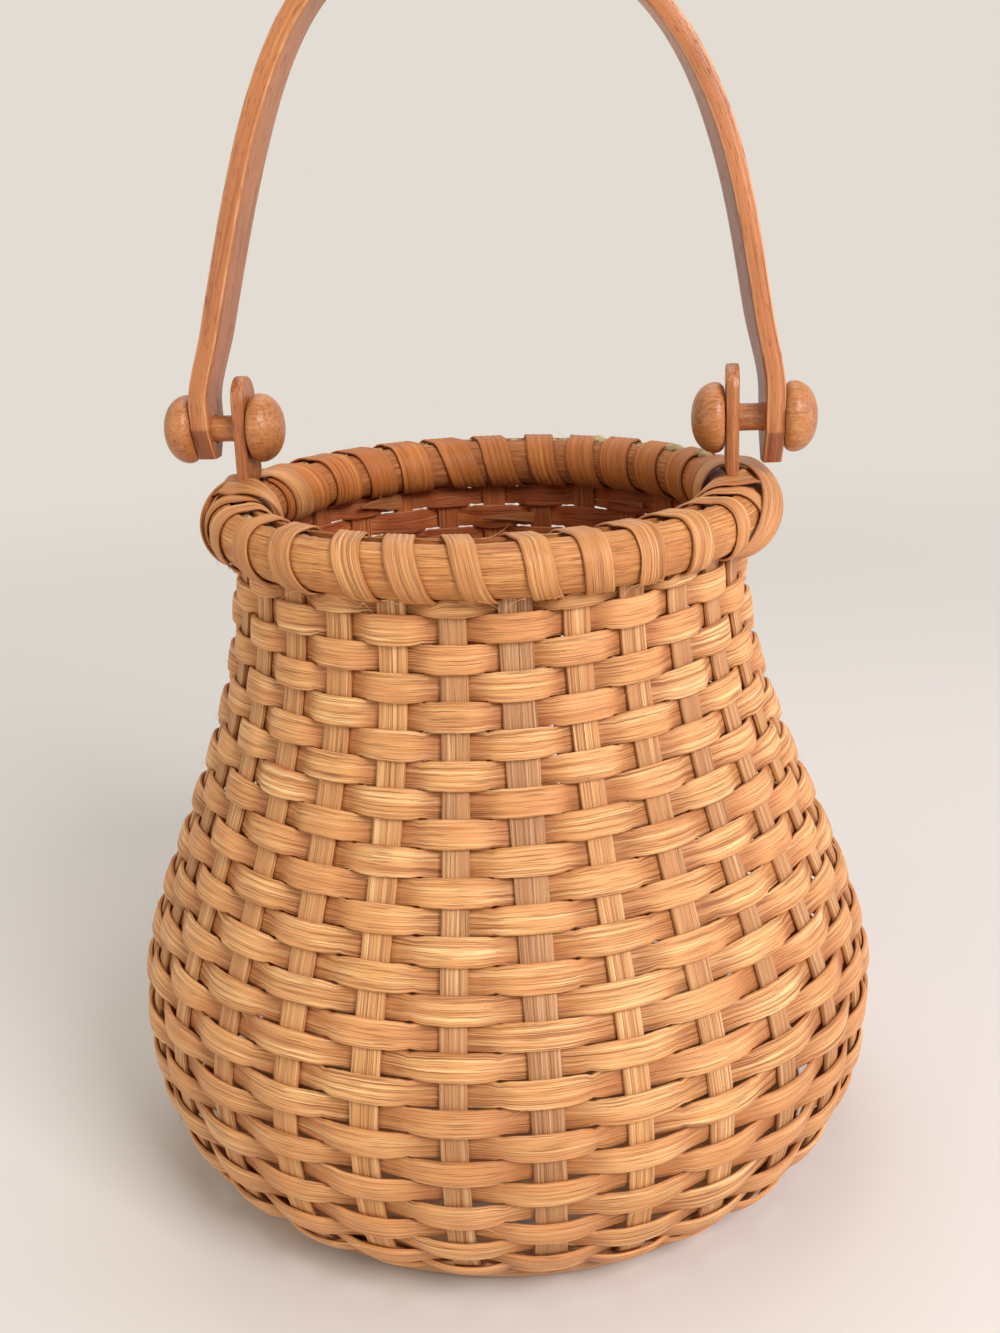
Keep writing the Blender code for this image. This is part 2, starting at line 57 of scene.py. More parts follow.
class Body(Enum):
    """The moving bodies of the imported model."""

    BASKET = "basket"
    HANDLE = "handle"
    LEFT_PIN = "left_pin"
    RIGHT_PIN = "right_pin"


class Side(Enum):
    """The two ends of the pins' line, by the sign of their X."""

    LEFT = -1
    RIGHT = 1

    @property
    def label(self) -> str:
        """The word for this side in the pieces' names."""
        return self.name.lower()

    @property
    def pin_body(self) -> Body:
        """The body of this side's pin."""
        return Body.LEFT_PIN if self is Side.LEFT else Body.RIGHT_PIN


class Axis(Enum):
    """The way the grain of a piece of wood runs."""

    X = 0
    Z = 2
    STRIP = 3


# Shapes


def unit(vectors: np.ndarray) -> np.ndarray:
    """Vectors divided by their lengths."""
    return vectors / np.linalg.norm(vectors, axis=-1, keepdims=True)


def outward(angle: np.ndarray) -> np.ndarray:
    """Level directions (sin a, -cos a, 0) away from the basket's axis."""
    return np.stack([np.sin(angle), -np.cos(angle), np.zeros_like(angle)], axis=-1)


def placed(points: np.ndarray, angle: np.ndarray) -> np.ndarray:
    """Places in space of (radius, height) pairs: radius times the outward direction, plus the height along Z."""
    space = points[..., :1] * outward(angle)
    space[..., 2] += points[..., 1]
    return space


def travelled(points: np.ndarray) -> np.ndarray:
    """Distance along a row of points, from zero: the running sum of the steps' lengths."""
    steps = np.linalg.norm(np.diff(points, axis=0), axis=-1)
    return np.concatenate([[0.0], np.cumsum(steps)])


def bezier(start: np.ndarray, leaving: np.ndarray, arriving: np.ndarray, end: np.ndarray, count: int) -> np.ndarray:
    """Cubic curve (1-s)^3 a + 3(1-s)^2 s b + 3(1-s) s^2 c + s^3 d at evenly spaced s.

    Args:
        start: The first point, a.
        leaving: The handle of the first point, b.
        arriving: The handle of the last point, c.
        end: The last point, d.
        count: How many points.

    Returns:
        An array of count points.
    """
    s = np.linspace(0.0, 1.0, count)[:, None]
    return (1 - s) ** 3 * start + 3 * (1 - s) ** 2 * s * leaving + 3 * (1 - s) * s**2 * arriving + s**3 * end


def wander(random: np.random.Generator, at: np.ndarray, spread: float) -> np.ndarray:
    """A smooth random curve: normal values at whole numbers, eased by 3f^2 - 2f^3 between them.

    Args:
        random: The source of the values.
        at: Where the curve is read, in whole-number steps.
        spread: The standard deviation of the values.

    Returns:
        One value for each place.
    """
    first = math.floor(float(at.min()))
    count = math.floor(float(at.max())) - first + 2
    values = np.clip(random.normal(0.0, spread, count), -2 * spread, 2 * spread)
    whole = np.floor(at).astype(int)
    part = at - whole
    eased = part**2 * (3 - 2 * part)
    return values[whole - first] * (1 - eased) + values[whole - first + 1] * eased


def reed_section(half_width: np.ndarray, thickness: float, rounding: float, crown: float, ridges: int = 0,
                 ridge: float = 0.0) -> np.ndarray:
    """Sections of a flat strip: a rectangle with quarter-circle edges and a crowned outer face.

    The outer face rises by crown times (1 - x^2), and by ridge times |sin| of ridges half waves, with x the share
    of the half width.

    Args:
        half_width: The half width at each place along the strip.
        thickness: The strip's thickness at its edges.
        rounding: The radius of its edges.
        crown: How far the outer face bulges in the middle.
        ridges: How many strands the outer face shows.
        ridge: How far each strand stands up.

    Returns:
        An array (places, corners, 2) of distances across and through the strip.
    """
    turns = np.radians(np.array([0.0, 45.0, 90.0]))
    inside = np.linspace(1.0, -1.0, 3 + 4 * max(ridges, 1))[1:-1]
    ones = np.ones(3)
    across_sign = np.concatenate([ones, inside, -ones, -ones, -inside, ones])
    zeros = np.zeros(len(inside))
    arc_across = np.concatenate([np.cos(turns), zeros, np.sin(turns), np.cos(turns), zeros, np.sin(turns)])
    arc_through = np.concatenate([np.sin(turns), zeros + 1, np.cos(turns), np.sin(turns), zeros + 1, np.cos(turns)])
    face = np.concatenate([ones, zeros + 1, ones, -ones, -zeros - 1, -ones])
    half = np.asarray(half_width, float)[:, None]
    across = across_sign * (half - rounding) + np.sign(across_sign) * rounding * arc_across
    share = across / half
    strands = np.abs(np.sin(np.pi * ridges * (share + 1) / 2)) if ridges else 0.0
    bulge = np.where(face > 0, crown * (1 - share**2) + ridge * strands, 0.0)
    through = face * (thickness / 2 - rounding + rounding * arc_through) + bulge
    return np.stack([across, through], axis=-1)


def ribbon(centres: np.ndarray, across: np.ndarray, through: np.ndarray, section: np.ndarray) -> np.ndarray:
    """A strip's surface: centre + section x times the across direction + section y times the through direction.

    The across direction is made square to the path first, and the through direction square to both.

    Args:
        centres: Points along the middle of the strip.
        across: Rough directions over its width.
        through: Rough directions out of its face.
        section: Sections as reed_section gives them.

    Returns:
        An array (places, corners, 3).
    """
    path = unit(np.gradient(centres, axis=0))
    level = unit(across - np.sum(across * path, axis=-1, keepdims=True) * path)
    rise = unit(np.cross(path, level))
    rise *= np.sign(np.sum(rise * through, axis=-1, keepdims=True))
    return centres[:, None] + section[..., :1] * level[:, None] + section[..., 1:] * rise[:, None]


@dataclass
class Skin:
    """Collects closed surfaces given as grids of points, and makes one mesh object of them."""

    points: list[np.ndarray] = field(default_factory=list)
    corners: list[np.ndarray] = field(default_factory=list)
    sizes: list[np.ndarray] = field(default_factory=list)
    places: list[np.ndarray] = field(default_factory=list)
    marks: list[np.ndarray] = field(default_factory=list)
    count: int = 0

    def add(self, grid: np.ndarray, along: np.ndarray | None = None, around: np.ndarray | None = None,
            mark: np.ndarray | None = None, joined: bool = False) -> "Skin":
        """Adds one grid: four-sided faces between neighbours, closed round its second direction.

        The faces are turned so that the volume they hold, the sum of a.(b x c) / 6, is positive.

        Args:
            grid: An array (rings, sides, 3).
            along: The strip map's second value for each ring, one more where the rings join up.
            around: Its first value for each side, and once more for the first.
            mark: A value from -1 to 1 for each point, for the finish to read.
            joined: Whether the last ring meets the first. Other grids get a face at each end.

        Returns:
            This skin, so that calls can follow one another.
        """
        rings, sides = grid.shape[:2]
        spans = rings if joined else rings - 1
        middle = grid.mean(axis=1)
        if along is None:
            along = travelled(np.vstack([middle, middle[:1]]) if joined else middle)
        if around is None:
            around = travelled(np.vstack([grid[0], grid[0, :1]]))
        ring, side = np.meshgrid(np.arange(spans), np.arange(sides), indexing="ij")
        ring_after, side_after = (ring + 1) % rings, (side + 1) % sides
        quads = np.stack([ring * sides + side, ring * sides + side_after, ring_after * sides + side_after,
                          ring_after * sides + side], axis=-1).reshape(-1, 4)
        first = np.stack([around[side], around[side + 1], around[side + 1], around[side]], axis=-1)
        second = np.stack([along[ring], along[ring], along[ring + 1], along[ring + 1]], axis=-1)
        maps = np.stack([first, second], axis=-1).reshape(-1, 4, 2)
        flat = grid.reshape(-1, 3)
        corners, sizes, places = [quads.ravel()], [np.full(len(quads), 4)], [maps.reshape(-1, 2)]
        a, b, c, d = (flat[quads[:, n]] for n in range(4))
        held = np.sum(a * np.cross(b, c)) + np.sum(a * np.cross(c, d))
        if not joined:
            loop = np.arange(sides)
            ends = ((loop[::-1], along[0]), (loop + (rings - 1) * sides, along[-1]))
            for cap, far in ends:
                corners.append(cap)
                sizes.append(np.array([sides]))
                places.append(np.stack([around[cap % sides], np.full(sides, far)], axis=-1))
                fan = flat[cap]
                held += np.sum(fan[0] * np.cross(fan[1:-1], fan[2:]))
        if held < 0:
            corners = [corner.reshape(-1, size[0])[:, ::-1].ravel() for corner, size in zip(corners, sizes)]
            places = [place.reshape(-1, size[0], 2)[:, ::-1].reshape(-1, 2) for place, size in zip(places, sizes)]
        self.points.append(flat)
        self.corners += [corner + self.count for corner in corners]
        self.sizes += sizes
        self.places += places
        self.marks.append(np.zeros(len(flat)) if mark is None else np.broadcast_to(mark, (rings, sides)).ravel())
        self.count += len(flat)
        return self

    def build(self, name: str) -> bpy.types.Object:
        """The mesh object, smooth but for its sharp edges, with its strip map and its mark.

        Args:
            name: The object's name.

        Returns:
            The object, linked to the scene and sitting at the origin.
        """
        corners, sizes = np.concatenate(self.corners), np.concatenate(self.sizes)
        mesh = bpy.data.meshes.new(name)
        mesh.vertices.add(self.count)
        mesh.vertices.foreach_set("co", np.vstack(self.points).astype(np.float32).ravel())
        mesh.loops.add(len(corners))
        mesh.loops.foreach_set("vertex_index", corners.astype(np.int32))
        mesh.polygons.add(len(sizes))
        mesh.polygons.foreach_set("loop_start", (np.cumsum(sizes) - sizes).astype(np.int32))
        mesh.update(calc_edges=True)
        mesh.uv_layers.new(name=STRIP_UV).data.foreach_set("uv", np.vstack(self.places).astype(np.float32).ravel())
        mark = mesh.attributes.new("mark", "FLOAT", "POINT")
        mark.data.foreach_set("value", np.concatenate(self.marks).astype(np.float32))
        mesh.validate()
        mesh.shade_smooth()
        mesh.set_sharp_from_angle(angle=SHARP_ANGLE)
        piece = bpy.data.objects.new(name, mesh)
        bpy.context.scene.collection.objects.link(piece)
        return piece


def fit(piece: bpy.types.Object, body: Body, finish: bpy.types.Material, nodes: Sequence[str]) -> None:
    """Gives a piece its finish, its body and the CAD nodes it stands for.

    Args:
        piece: The finished mesh object.
        body: The body it moves with.
        finish: Its material.
        nodes: The names of the CAD nodes it replaces.
    """
    piece.data.materials.append(finish)
    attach(piece, body.value)
    if nodes:
        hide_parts(*nodes)
    LOG.info("%s: %d faces, moves with %s", piece.name, len(piece.data.polygons), body.value)


# Finishes


class Term:
    """A value in a material's node tree. Sums, products and powers of values add its Math nodes."""

    def __init__(self, shader: "Shader", socket: bpy.types.NodeSocket) -> None:
        """Wraps the output socket of a node."""
        self.shader = shader
        self.socket = socket

    def _math(self, operation: str, first: object, second: object = 0.0) -> "Term":
        """A Math node on two values."""
        made = self.shader.node("ShaderNodeMath", {"operation": operation}, {0: first, 1: second})
        return Term(self.shader, made.outputs[0])

    def __add__(self, other: object) -> "Term":
        """This value plus another."""
        return self._math("ADD", self, other)

    def __radd__(self, other: object) -> "Term":
        """Another value plus this one."""
        return self._math("ADD", other, self)

    def __sub__(self, other: object) -> "Term":
        """This value less another."""
        return self._math("SUBTRACT", self, other)

    def __rsub__(self, other: object) -> "Term":
        """Another value less this one."""
        return self._math("SUBTRACT", other, self)

    def __mul__(self, other: object) -> "Term":
        """This value times another."""
        return self._math("MULTIPLY", self, other)

    def __rmul__(self, other: object) -> "Term":
        """Another value times this one."""
        return self._math("MULTIPLY", other, self)

    def __truediv__(self, other: object) -> "Term":
        """This value divided by another."""
        return self._math("DIVIDE", self, other)

    def __pow__(self, other: object) -> "Term":
        """This value to a power."""
        return self._math("POWER", self, other)

    def either(self, other: object) -> "Term":
        """The larger of this value and another."""
        return self._math("MAXIMUM", self, other)

    def between(self, low: float, high: float) -> "Term":
        """0 up to low, 1 from high, and eased in between."""
        made = self.shader.node("ShaderNodeMapRange", {"interpolation_type": "SMOOTHSTEP"},
                                {"Value": self, "From Min": low, "From Max": high})
        return Term(self.shader, made.outputs[0])


class Shader:
    """Builds one material round its Principled shader."""

    def __init__(self, name: str) -> None:
        """Starts a material with this name."""
        self.material = bpy.data.materials.new(name)
        self.material.use_nodes = True
        self.tree = self.material.node_tree
        self.principled = self.tree.nodes["Principled BSDF"]

    def node(self, kind: str, settings: Mapping[str, object],
             sockets: Mapping[int | str, object]) -> bpy.types.Node:
        """Adds a node.

        Args:
            kind: The node's type.
            settings: Its properties, or "stops" for a ramp's (place, colour) pairs, set before its sockets.
            sockets: Values or Terms for its inputs, by name or number.

        Returns:
            The node.
        """
        made = self.tree.nodes.new(kind)
        for name, setting in settings.items():
            if name == "stops":
                stops = made.color_ramp.elements
                for place, _ in setting[2:]:
                    stops.new(place)
                for stop, (place, colour) in zip(stops, setting):
                    stop.position = place
                    stop.color = (*colour, 1.0)
            else:
                setattr(made, name, setting)
        for name, given in sockets.items():
            if isinstance(given, Term):
                self.tree.links.new(given.socket, made.inputs[name])
            else:
                made.inputs[name].default_value = given
        return made

    def strip(self) -> tuple[Term, Term]:
        """The two values of the strip map: metres across and metres along."""
        uv = self.node("ShaderNodeUVMap", {"uv_map": STRIP_UV}, {})
        parts = self.node("ShaderNodeSeparateXYZ", {}, {0: Term(self, uv.outputs[0])})
        return Term(self, parts.outputs[0]), Term(self, parts.outputs[1])

    def place(self) -> list[Term]:
        """The three object coordinates, in metres."""
        coordinates = self.node("ShaderNodeTexCoord", {}, {})
        parts = self.node("ShaderNodeSeparateXYZ", {}, {0: Term(self, coordinates.outputs["Object"])})
        return [Term(self, output) for output in parts.outputs]

    def mark(self) -> Term:
        """The mark that a piece's mesh carries."""
        found = self.node("ShaderNodeAttribute", {"attribute_name": "mark"}, {})
        return Term(self, found.outputs["Fac"])

    def noise(self, x: object, y: object, z: object, detail: float = 2.0, roughness: float = 0.5) -> Term:
        """Noise at a point whose coordinates count its blobs. It lies round 0.5."""
        point = self.node("ShaderNodeCombineXYZ", {}, {0: x, 1: y, 2: z})
        made = self.node("ShaderNodeTexNoise", {"noise_dimensions": "3D"},
                         {"Vector": Term(self, point.outputs[0]), "Scale": 1.0, "Detail": detail,
                          "Roughness": roughness})
        return Term(self, made.outputs[0])

    def ramp(self, value: Term, stops: Sequence[tuple[float, Colour]]) -> Term:
        """A colour that changes with a value."""
        made = self.node("ShaderNodeValToRGB", {"stops": stops}, {0: value})
        return Term(self, made.outputs[0])

    def mix(self, share: object, first: object, second: object, blend: str = "MIX") -> Term:
        """Mixes two colours: share 0 gives the first and 1 the second."""
        rgba = [given if isinstance(given, Term) else (*given, 1.0) for given in (first, second)]
        made = self.node("ShaderNodeMix", {"data_type": "RGBA", "blend_type": blend},
                         {0: share, 6: rgba[0], 7: rgba[1]})
        return Term(self, made.outputs[2])

    def finish(self, colour: Term, roughness: object, height: Term, relief: float,
               constants: Mapping[str, float]) -> bpy.types.Material:
        """Joins colour, roughness and relief to the Principled shader.

        Args:
            colour: The base colour.
            roughness: The roughness.
            height: A value whose differences stand up from the surface.
            relief: How many metres a difference of 1 in it stands up.
            constants: Plain values for other sockets.

        Returns:
            The finished material.
        """
        bump = self.node("ShaderNodeBump", {}, {"Strength": 1.0, "Distance": relief, "Height": height})
        linked = {"Base Color": colour, "Roughness": roughness, "Normal": Term(self, bump.outputs[0])}
        for name, given in {**linked, **constants}.items():
            if isinstance(given, Term):
                self.tree.links.new(given.socket, self.principled.inputs[name])
            else:
                self.principled.inputs[name].default_value = given
        return self.material


@dataclass(frozen=True)
class ReedFinish:
    """Split reed or cane: fine lines along the strip, over a tone that drifts from place to place."""

    name: str
    tone: Colour
    deep: Colour
    pale: Colour
    drift: Colour
    line_width: float = 0.00036
    line_length: float = 0.018
    contrast: float = 2.0
    hairlines: float = 0.62
    drift_length: float = 0.05
    drift_share: float = 0.55
    # How strongly the mark multiplies in the shade tone: painted shade on dips and edges, and on the stakes their own
    # greyer tint.
    shade: float = 0.5
    shade_tone: Colour = (0.46, 0.25, 0.13)
    waver: float = 0.0004
    waver_size: tuple[float, float] = (0.004, 0.014)
    broad_lines: tuple[float, float] = (2.8, 1.8)
    drift_width: float = 0.012
    drift_range: tuple[float, float] = (0.42, 0.60)
    patch_size: tuple[float, float] = (0.05, 0.035)
    patch_range: tuple[float, float] = (0.40, 0.66)
    patch_share: float = 0.20
    crack_lines: tuple[float, float] = (0.75, 0.4)
    crack_range: tuple[float, float] = (0.59, 0.68)
    crack_tone: Colour = (0.20, 0.085, 0.035)
    fleck_size: tuple[float, float] = (0.0006, 0.0016)
    fleck_range: tuple[float, float] = (0.76, 0.82)
    fleck_share: float = 0.6
    fleck_tone: Colour = (0.10, 0.045, 0.02)
    # Painted shade on the strips' inner faces inside the basket: across this span the inner colour multiplies them
    # darker and redder.
    inner_blend: float = 0.0004
    inner_shade_span: tuple[float, float] | None = None
    inner: Colour = (0.72, 0.41, 0.26)
    roughness: float = 0.52
    relief: float = 0.00055
    specular: float = 0.42
    coat: float = 0.0

    def material(self) -> bpy.types.Material:
        """Line noise picks deep, tone or pale, sharper noise cuts hairlines, and the mark multiplies in the shade
        tone: painted shade where the weavers dip behind the stakes and along the edges of strips and cane, and the
        greyer tint of some stakes.

        The lines waver, because a slow noise is added to the place across the strip before they are read.
        """
        shader = Shader(self.name)
        across, along = shader.strip()
        x, y, z = shader.place()
        waver = shader.noise(along / self.waver_size[1], across / self.waver_size[0], 5.0, 1.0)
        side = across + self.waver * (waver - 0.5)
        fine = shader.noise(side / self.line_width, along / self.line_length, 0.0, 2.0, 0.6)
        wider, longer = self.broad_lines
        broad = shader.noise(side / (wider * self.line_width), along / (longer * self.line_length), 7.0, 1.0)
        lines = fine * 0.55 + broad * 0.45
        half = 0.22 / self.contrast
        tones = shader.ramp(lines, ((0.5 - half, self.deep), (0.5 - 0.25 * half, self.tone),
                                    (0.5 + 0.30 * half, self.tone), (0.5 + half, self.pale)))
        slow = shader.noise(along / self.drift_length, across / self.drift_width, 3.0, 2.0)
        slow = slow.between(*self.drift_range)
        colour = shader.mix(slow * self.drift_share, tones, self.drift)
        level, upright = self.patch_size
        patch = shader.noise(x / level, y / level, z / upright, 2.0).between(*self.patch_range)
        colour = shader.mix(patch * self.patch_share, colour, self.deep)
        narrower, shorter = self.crack_lines
        cracks = shader.noise(side / (narrower * self.line_width), along / (shorter * self.line_length), 13.0, 1.0)
        cracks = cracks.between(*self.crack_range)
        colour = shader.mix(cracks * self.hairlines, colour, self.crack_tone)
        fleck = shader.noise(across / self.fleck_size[0], along / self.fleck_size[1], 11.0, 1.0)
        fleck = fleck.between(*self.fleck_range)
        colour = shader.mix(fleck * self.fleck_share, colour, self.fleck_tone)
        # Painted shade from the mark: darker where a weaver dips behind a stake and along strip and cane edges; on the
        # stakes the same mark gives their own greyer tint.
        colour = shader.mix(shader.mark() * self.shade, colour, self.shade_tone, "MULTIPLY")
        # Painted shade: the inner faces of stakes and weavers are multiplied darker and redder.
        if self.inner_shade_span:
            start, end = self.inner_shade_span
            past_start = across.between(start - self.inner_blend, start)
            inside = past_start * (1.0 - across.between(end, end + self.inner_blend))
            colour = shader.mix(inside, colour, self.inner, "MULTIPLY")
        roughness = self.roughness + 0.25 * (fine - 0.5)
        return shader.finish(colour, roughness, lines - 0.10 * cracks, self.relief,
                             {"Specular IOR Level": self.specular, "Coat Weight": self.coat, "Coat Roughness": 0.35})


@dataclass(frozen=True)
class WoodFinish:
    """Stained or oiled wood with long grain lines and short dark pores, worn at mark 1 and darkened by painted shade
    at mark -1.
    """

    name: str
    tone: Colour
    deep: Colour
    pale: Colour
    grain: Axis
    grain_width: float = 0.0011
    grain_length: float = 0.030
    worn: Colour = (0.80, 0.46, 0.23)
    # The colour that negative marks multiply in: painted shade.
    stained: Colour = (0.54, 0.38, 0.33)
    roughness: float = 0.38
    relief: float = 0.00016
    coat: float = 0.12

    def material(self) -> bpy.types.Material:
        """Noise stretched along the grain picks deep, tone or pale, and a finer one cuts the pores."""
        shader = Shader(self.name)
        if self.grain is Axis.STRIP:
            across, along = shader.strip()
            sides = [across, across * 0.0]
        else:
            place = shader.place()
            along = place.pop(self.grain.value)
            sides = place
        bend = shader.noise(sides[0] / 0.02, sides[1] / 0.02, along / 0.05, 1.0)
        first, second = sides[0] / self.grain_width, sides[1] / self.grain_width
        grain = shader.noise(first + bend * 1.5, second, along / self.grain_length, 3.0, 0.6)
        pores = shader.noise(first * 3.0, second * 3.0, along / (0.10 * self.grain_length), 1.0).between(0.60, 0.72)
        wide = shader.noise(sides[0] / 0.008, sides[1] / 0.008, along / 0.06, 2.0)
        tones = shader.ramp(grain * 0.6 + wide * 0.4, ((0.40, self.deep), (0.47, self.tone), (0.54, self.tone),
                                                       (0.62, self.pale)))
        colour = shader.mix(pores * 0.40, tones, self.deep, "MULTIPLY")
        rubbed = shader.noise(along / 0.007, sides[0] / 0.003, 17.0, 2.0).between(0.36, 0.56)
        mark = shader.mark()
        colour = shader.mix(mark.either(0.0) * (0.15 + 0.60 * rubbed), colour, self.worn)
        # Painted shade where the mark is negative.
        colour = shader.mix((-1.0 * mark).either(0.0), colour, self.stained, "MULTIPLY")
        roughness = self.roughness + 0.25 * (grain - 0.5) + 0.12 * pores
        return shader.finish(colour, roughness, grain - 0.6 * pores, self.relief,
                             {"Specular IOR Level": 0.5, "Coat Weight": self.coat, "Coat Roughness": 0.3})


FINISHES = {
    made.name: made
    for made in (
        ReedFinish("stake_reed", (0.68, 0.335, 0.118), (0.37, 0.15, 0.050), (0.94, 0.60, 0.29), (0.60, 0.275, 0.102),
                   line_width=0.00028, line_length=0.06, contrast=2.2, inner_shade_span=(0.0075, 0.0133), relief=0.00060,
                   roughness=0.58, shade=1.0, shade_tone=(0.74, 0.75, 0.86), waver=0.0003),
        ReedFinish("weaver_reed", (0.76, 0.372, 0.130), (0.42, 0.162, 0.050), (0.97, 0.64, 0.30),
                   (0.70, 0.292, 0.098), line_width=0.00029, line_length=0.030, contrast=2.2,
                   inner_shade_span=(0.0078, 0.0139)),
        ReedFinish("rim_reed", (0.62, 0.260, 0.072), (0.34, 0.115, 0.031), (0.82, 0.43, 0.145), (0.54, 0.200, 0.055),
                   line_width=0.00026, line_length=0.012, contrast=2.1),
        # A darker, duller copy of the rim reed for the inner hoop: painted shade inside the rim.
        ReedFinish("shaded_inner_rim_reed", (0.46, 0.155, 0.040), (0.24, 0.075, 0.018), (0.63, 0.28, 0.085),
                   (0.38, 0.12, 0.032), line_width=0.00028, line_length=0.010, roughness=0.50, specular=0.25),
        ReedFinish("lashing_cane", (0.66, 0.295, 0.092), (0.36, 0.130, 0.040), (0.88, 0.50, 0.20),
                   (0.53, 0.215, 0.070), line_width=0.00030, line_length=0.040, roughness=0.46, coat=0.03),
        # A darker, duller copy of the lashing cane: painted shade on the rim's back.
        ReedFinish("shaded_back_lashing_cane", (0.50, 0.165, 0.036), (0.28, 0.080, 0.018), (0.66, 0.28, 0.075),
                   (0.42, 0.135, 0.032), line_width=0.00032, line_length=0.040, contrast=1.7, roughness=0.50,
                   relief=0.00035, specular=0.25),
        # A darker, duller copy of the weaver reed for the splice ends inside the basket: painted shade.
        ReedFinish("shaded_splice_reed", (0.42, 0.150, 0.045), (0.24, 0.075, 0.022), (0.60, 0.27, 0.09), (0.36, 0.12, 0.036),
                   contrast=1.7, relief=0.00035, specular=0.25),
        ReedFinish("seagrass", (0.56, 0.44, 0.22), (0.32, 0.24, 0.11), (0.78, 0.66, 0.40), (0.54, 0.42, 0.23),
                   line_width=0.00030, line_length=0.006, drift_length=0.02, roughness=0.75),
        ReedFinish("fibre_reed", (0.82, 0.52, 0.25), (0.50, 0.24, 0.10), (0.95, 0.72, 0.44), (0.70, 0.40, 0.18),
                   contrast=1.0, relief=0.0001),
        WoodFinish("base_wood", (0.48, 0.23, 0.09), (0.28, 0.12, 0.045), (0.60, 0.33, 0.14), Axis.X,
                   grain_width=0.0022, grain_length=0.06),
        WoodFinish("ear_wood", (0.39, 0.128, 0.036), (0.23, 0.068, 0.019), (0.55, 0.225, 0.075), Axis.Z,
                   grain_width=0.0008),
        WoodFinish("handle_wood", (0.48, 0.172, 0.056), (0.34, 0.110, 0.036), (0.60, 0.255, 0.090), Axis.STRIP,
                   grain_width=0.0009, grain_length=0.04),
        WoodFinish("knob_wood", (0.49, 0.190, 0.056), (0.37, 0.130, 0.038), (0.60, 0.27, 0.090), Axis.X,
                   grain_width=0.0009, grain_length=0.012, coat=0.06),
    )
}


# The basket's parts


@dataclass(frozen=True)
class Wall:
    """The stakes' middle line from the top of the weave over the belly to beside the base, and the weave's rows."""

    top: tuple[float, float] = (0.0650, 0.1710)
    top_reach: float = 0.0505
    belly: tuple[float, float] = (0.0996, 0.0490)
    belly_reach_up: float = 0.0306
    belly_reach_down: float = 0.0177
    end: tuple[float, float] = (0.0880, 0.01125)
    end_reach: float = 0.0107
    end_slope: float = math.radians(42.5)
    onward_slope: float = math.radians(31.2)
    rows: float = 26.38
    tightening: float = 0.055
    stakes: int = 29
    first_stake_angle: float = math.radians(-0.75)
    stake_width: float = 0.0062
    strip_thickness: float = 0.0012
    layer: float = 0.0015

    @property
    def stake_angle(self) -> float:
        """The angle between neighbouring stakes."""
        return 2 * math.pi / self.stakes

    def line(self) -> np.ndarray:
        """(radius, height) points of the two curves that make the wall."""
        up = np.array([0.0, 1.0])
        top, belly, end = np.array(self.top), np.array(self.belly), np.array(self.end)
        leaving = np.array([math.cos(self.end_slope), math.sin(self.end_slope)])
        upper = bezier(top, top - self.top_reach * up, belly + self.belly_reach_up * up, belly, 240)
        lower = bezier(belly, belly - self.belly_reach_down * up, end + self.end_reach * leaving, end, 240)
        return np.vstack([upper, lower[1:]])

    def at(self, rows: np.ndarray) -> np.ndarray:
        """(radius, height) pairs this many rows down, at length L(x + t x(1 - x^2)) with x the share of the rows.

        Negative rows go straight up from the line's first point, and rows past the last straight on towards the base.
        """
        line = self.line()
        lengths = travelled(line)
        share = np.asarray(rows, float) / self.rows
        length = lengths[-1] * (share + self.tightening * share * (1 - share**2))
        points = np.stack([np.interp(length, lengths, line[:, axis]) for axis in (0, 1)], axis=-1)
        points[..., 1] -= np.minimum(length, 0.0)
        onward = -np.array([math.cos(self.onward_slope), math.sin(self.onward_slope)])
        return points + np.maximum(length - lengths[-1], 0.0)[..., None] * onward


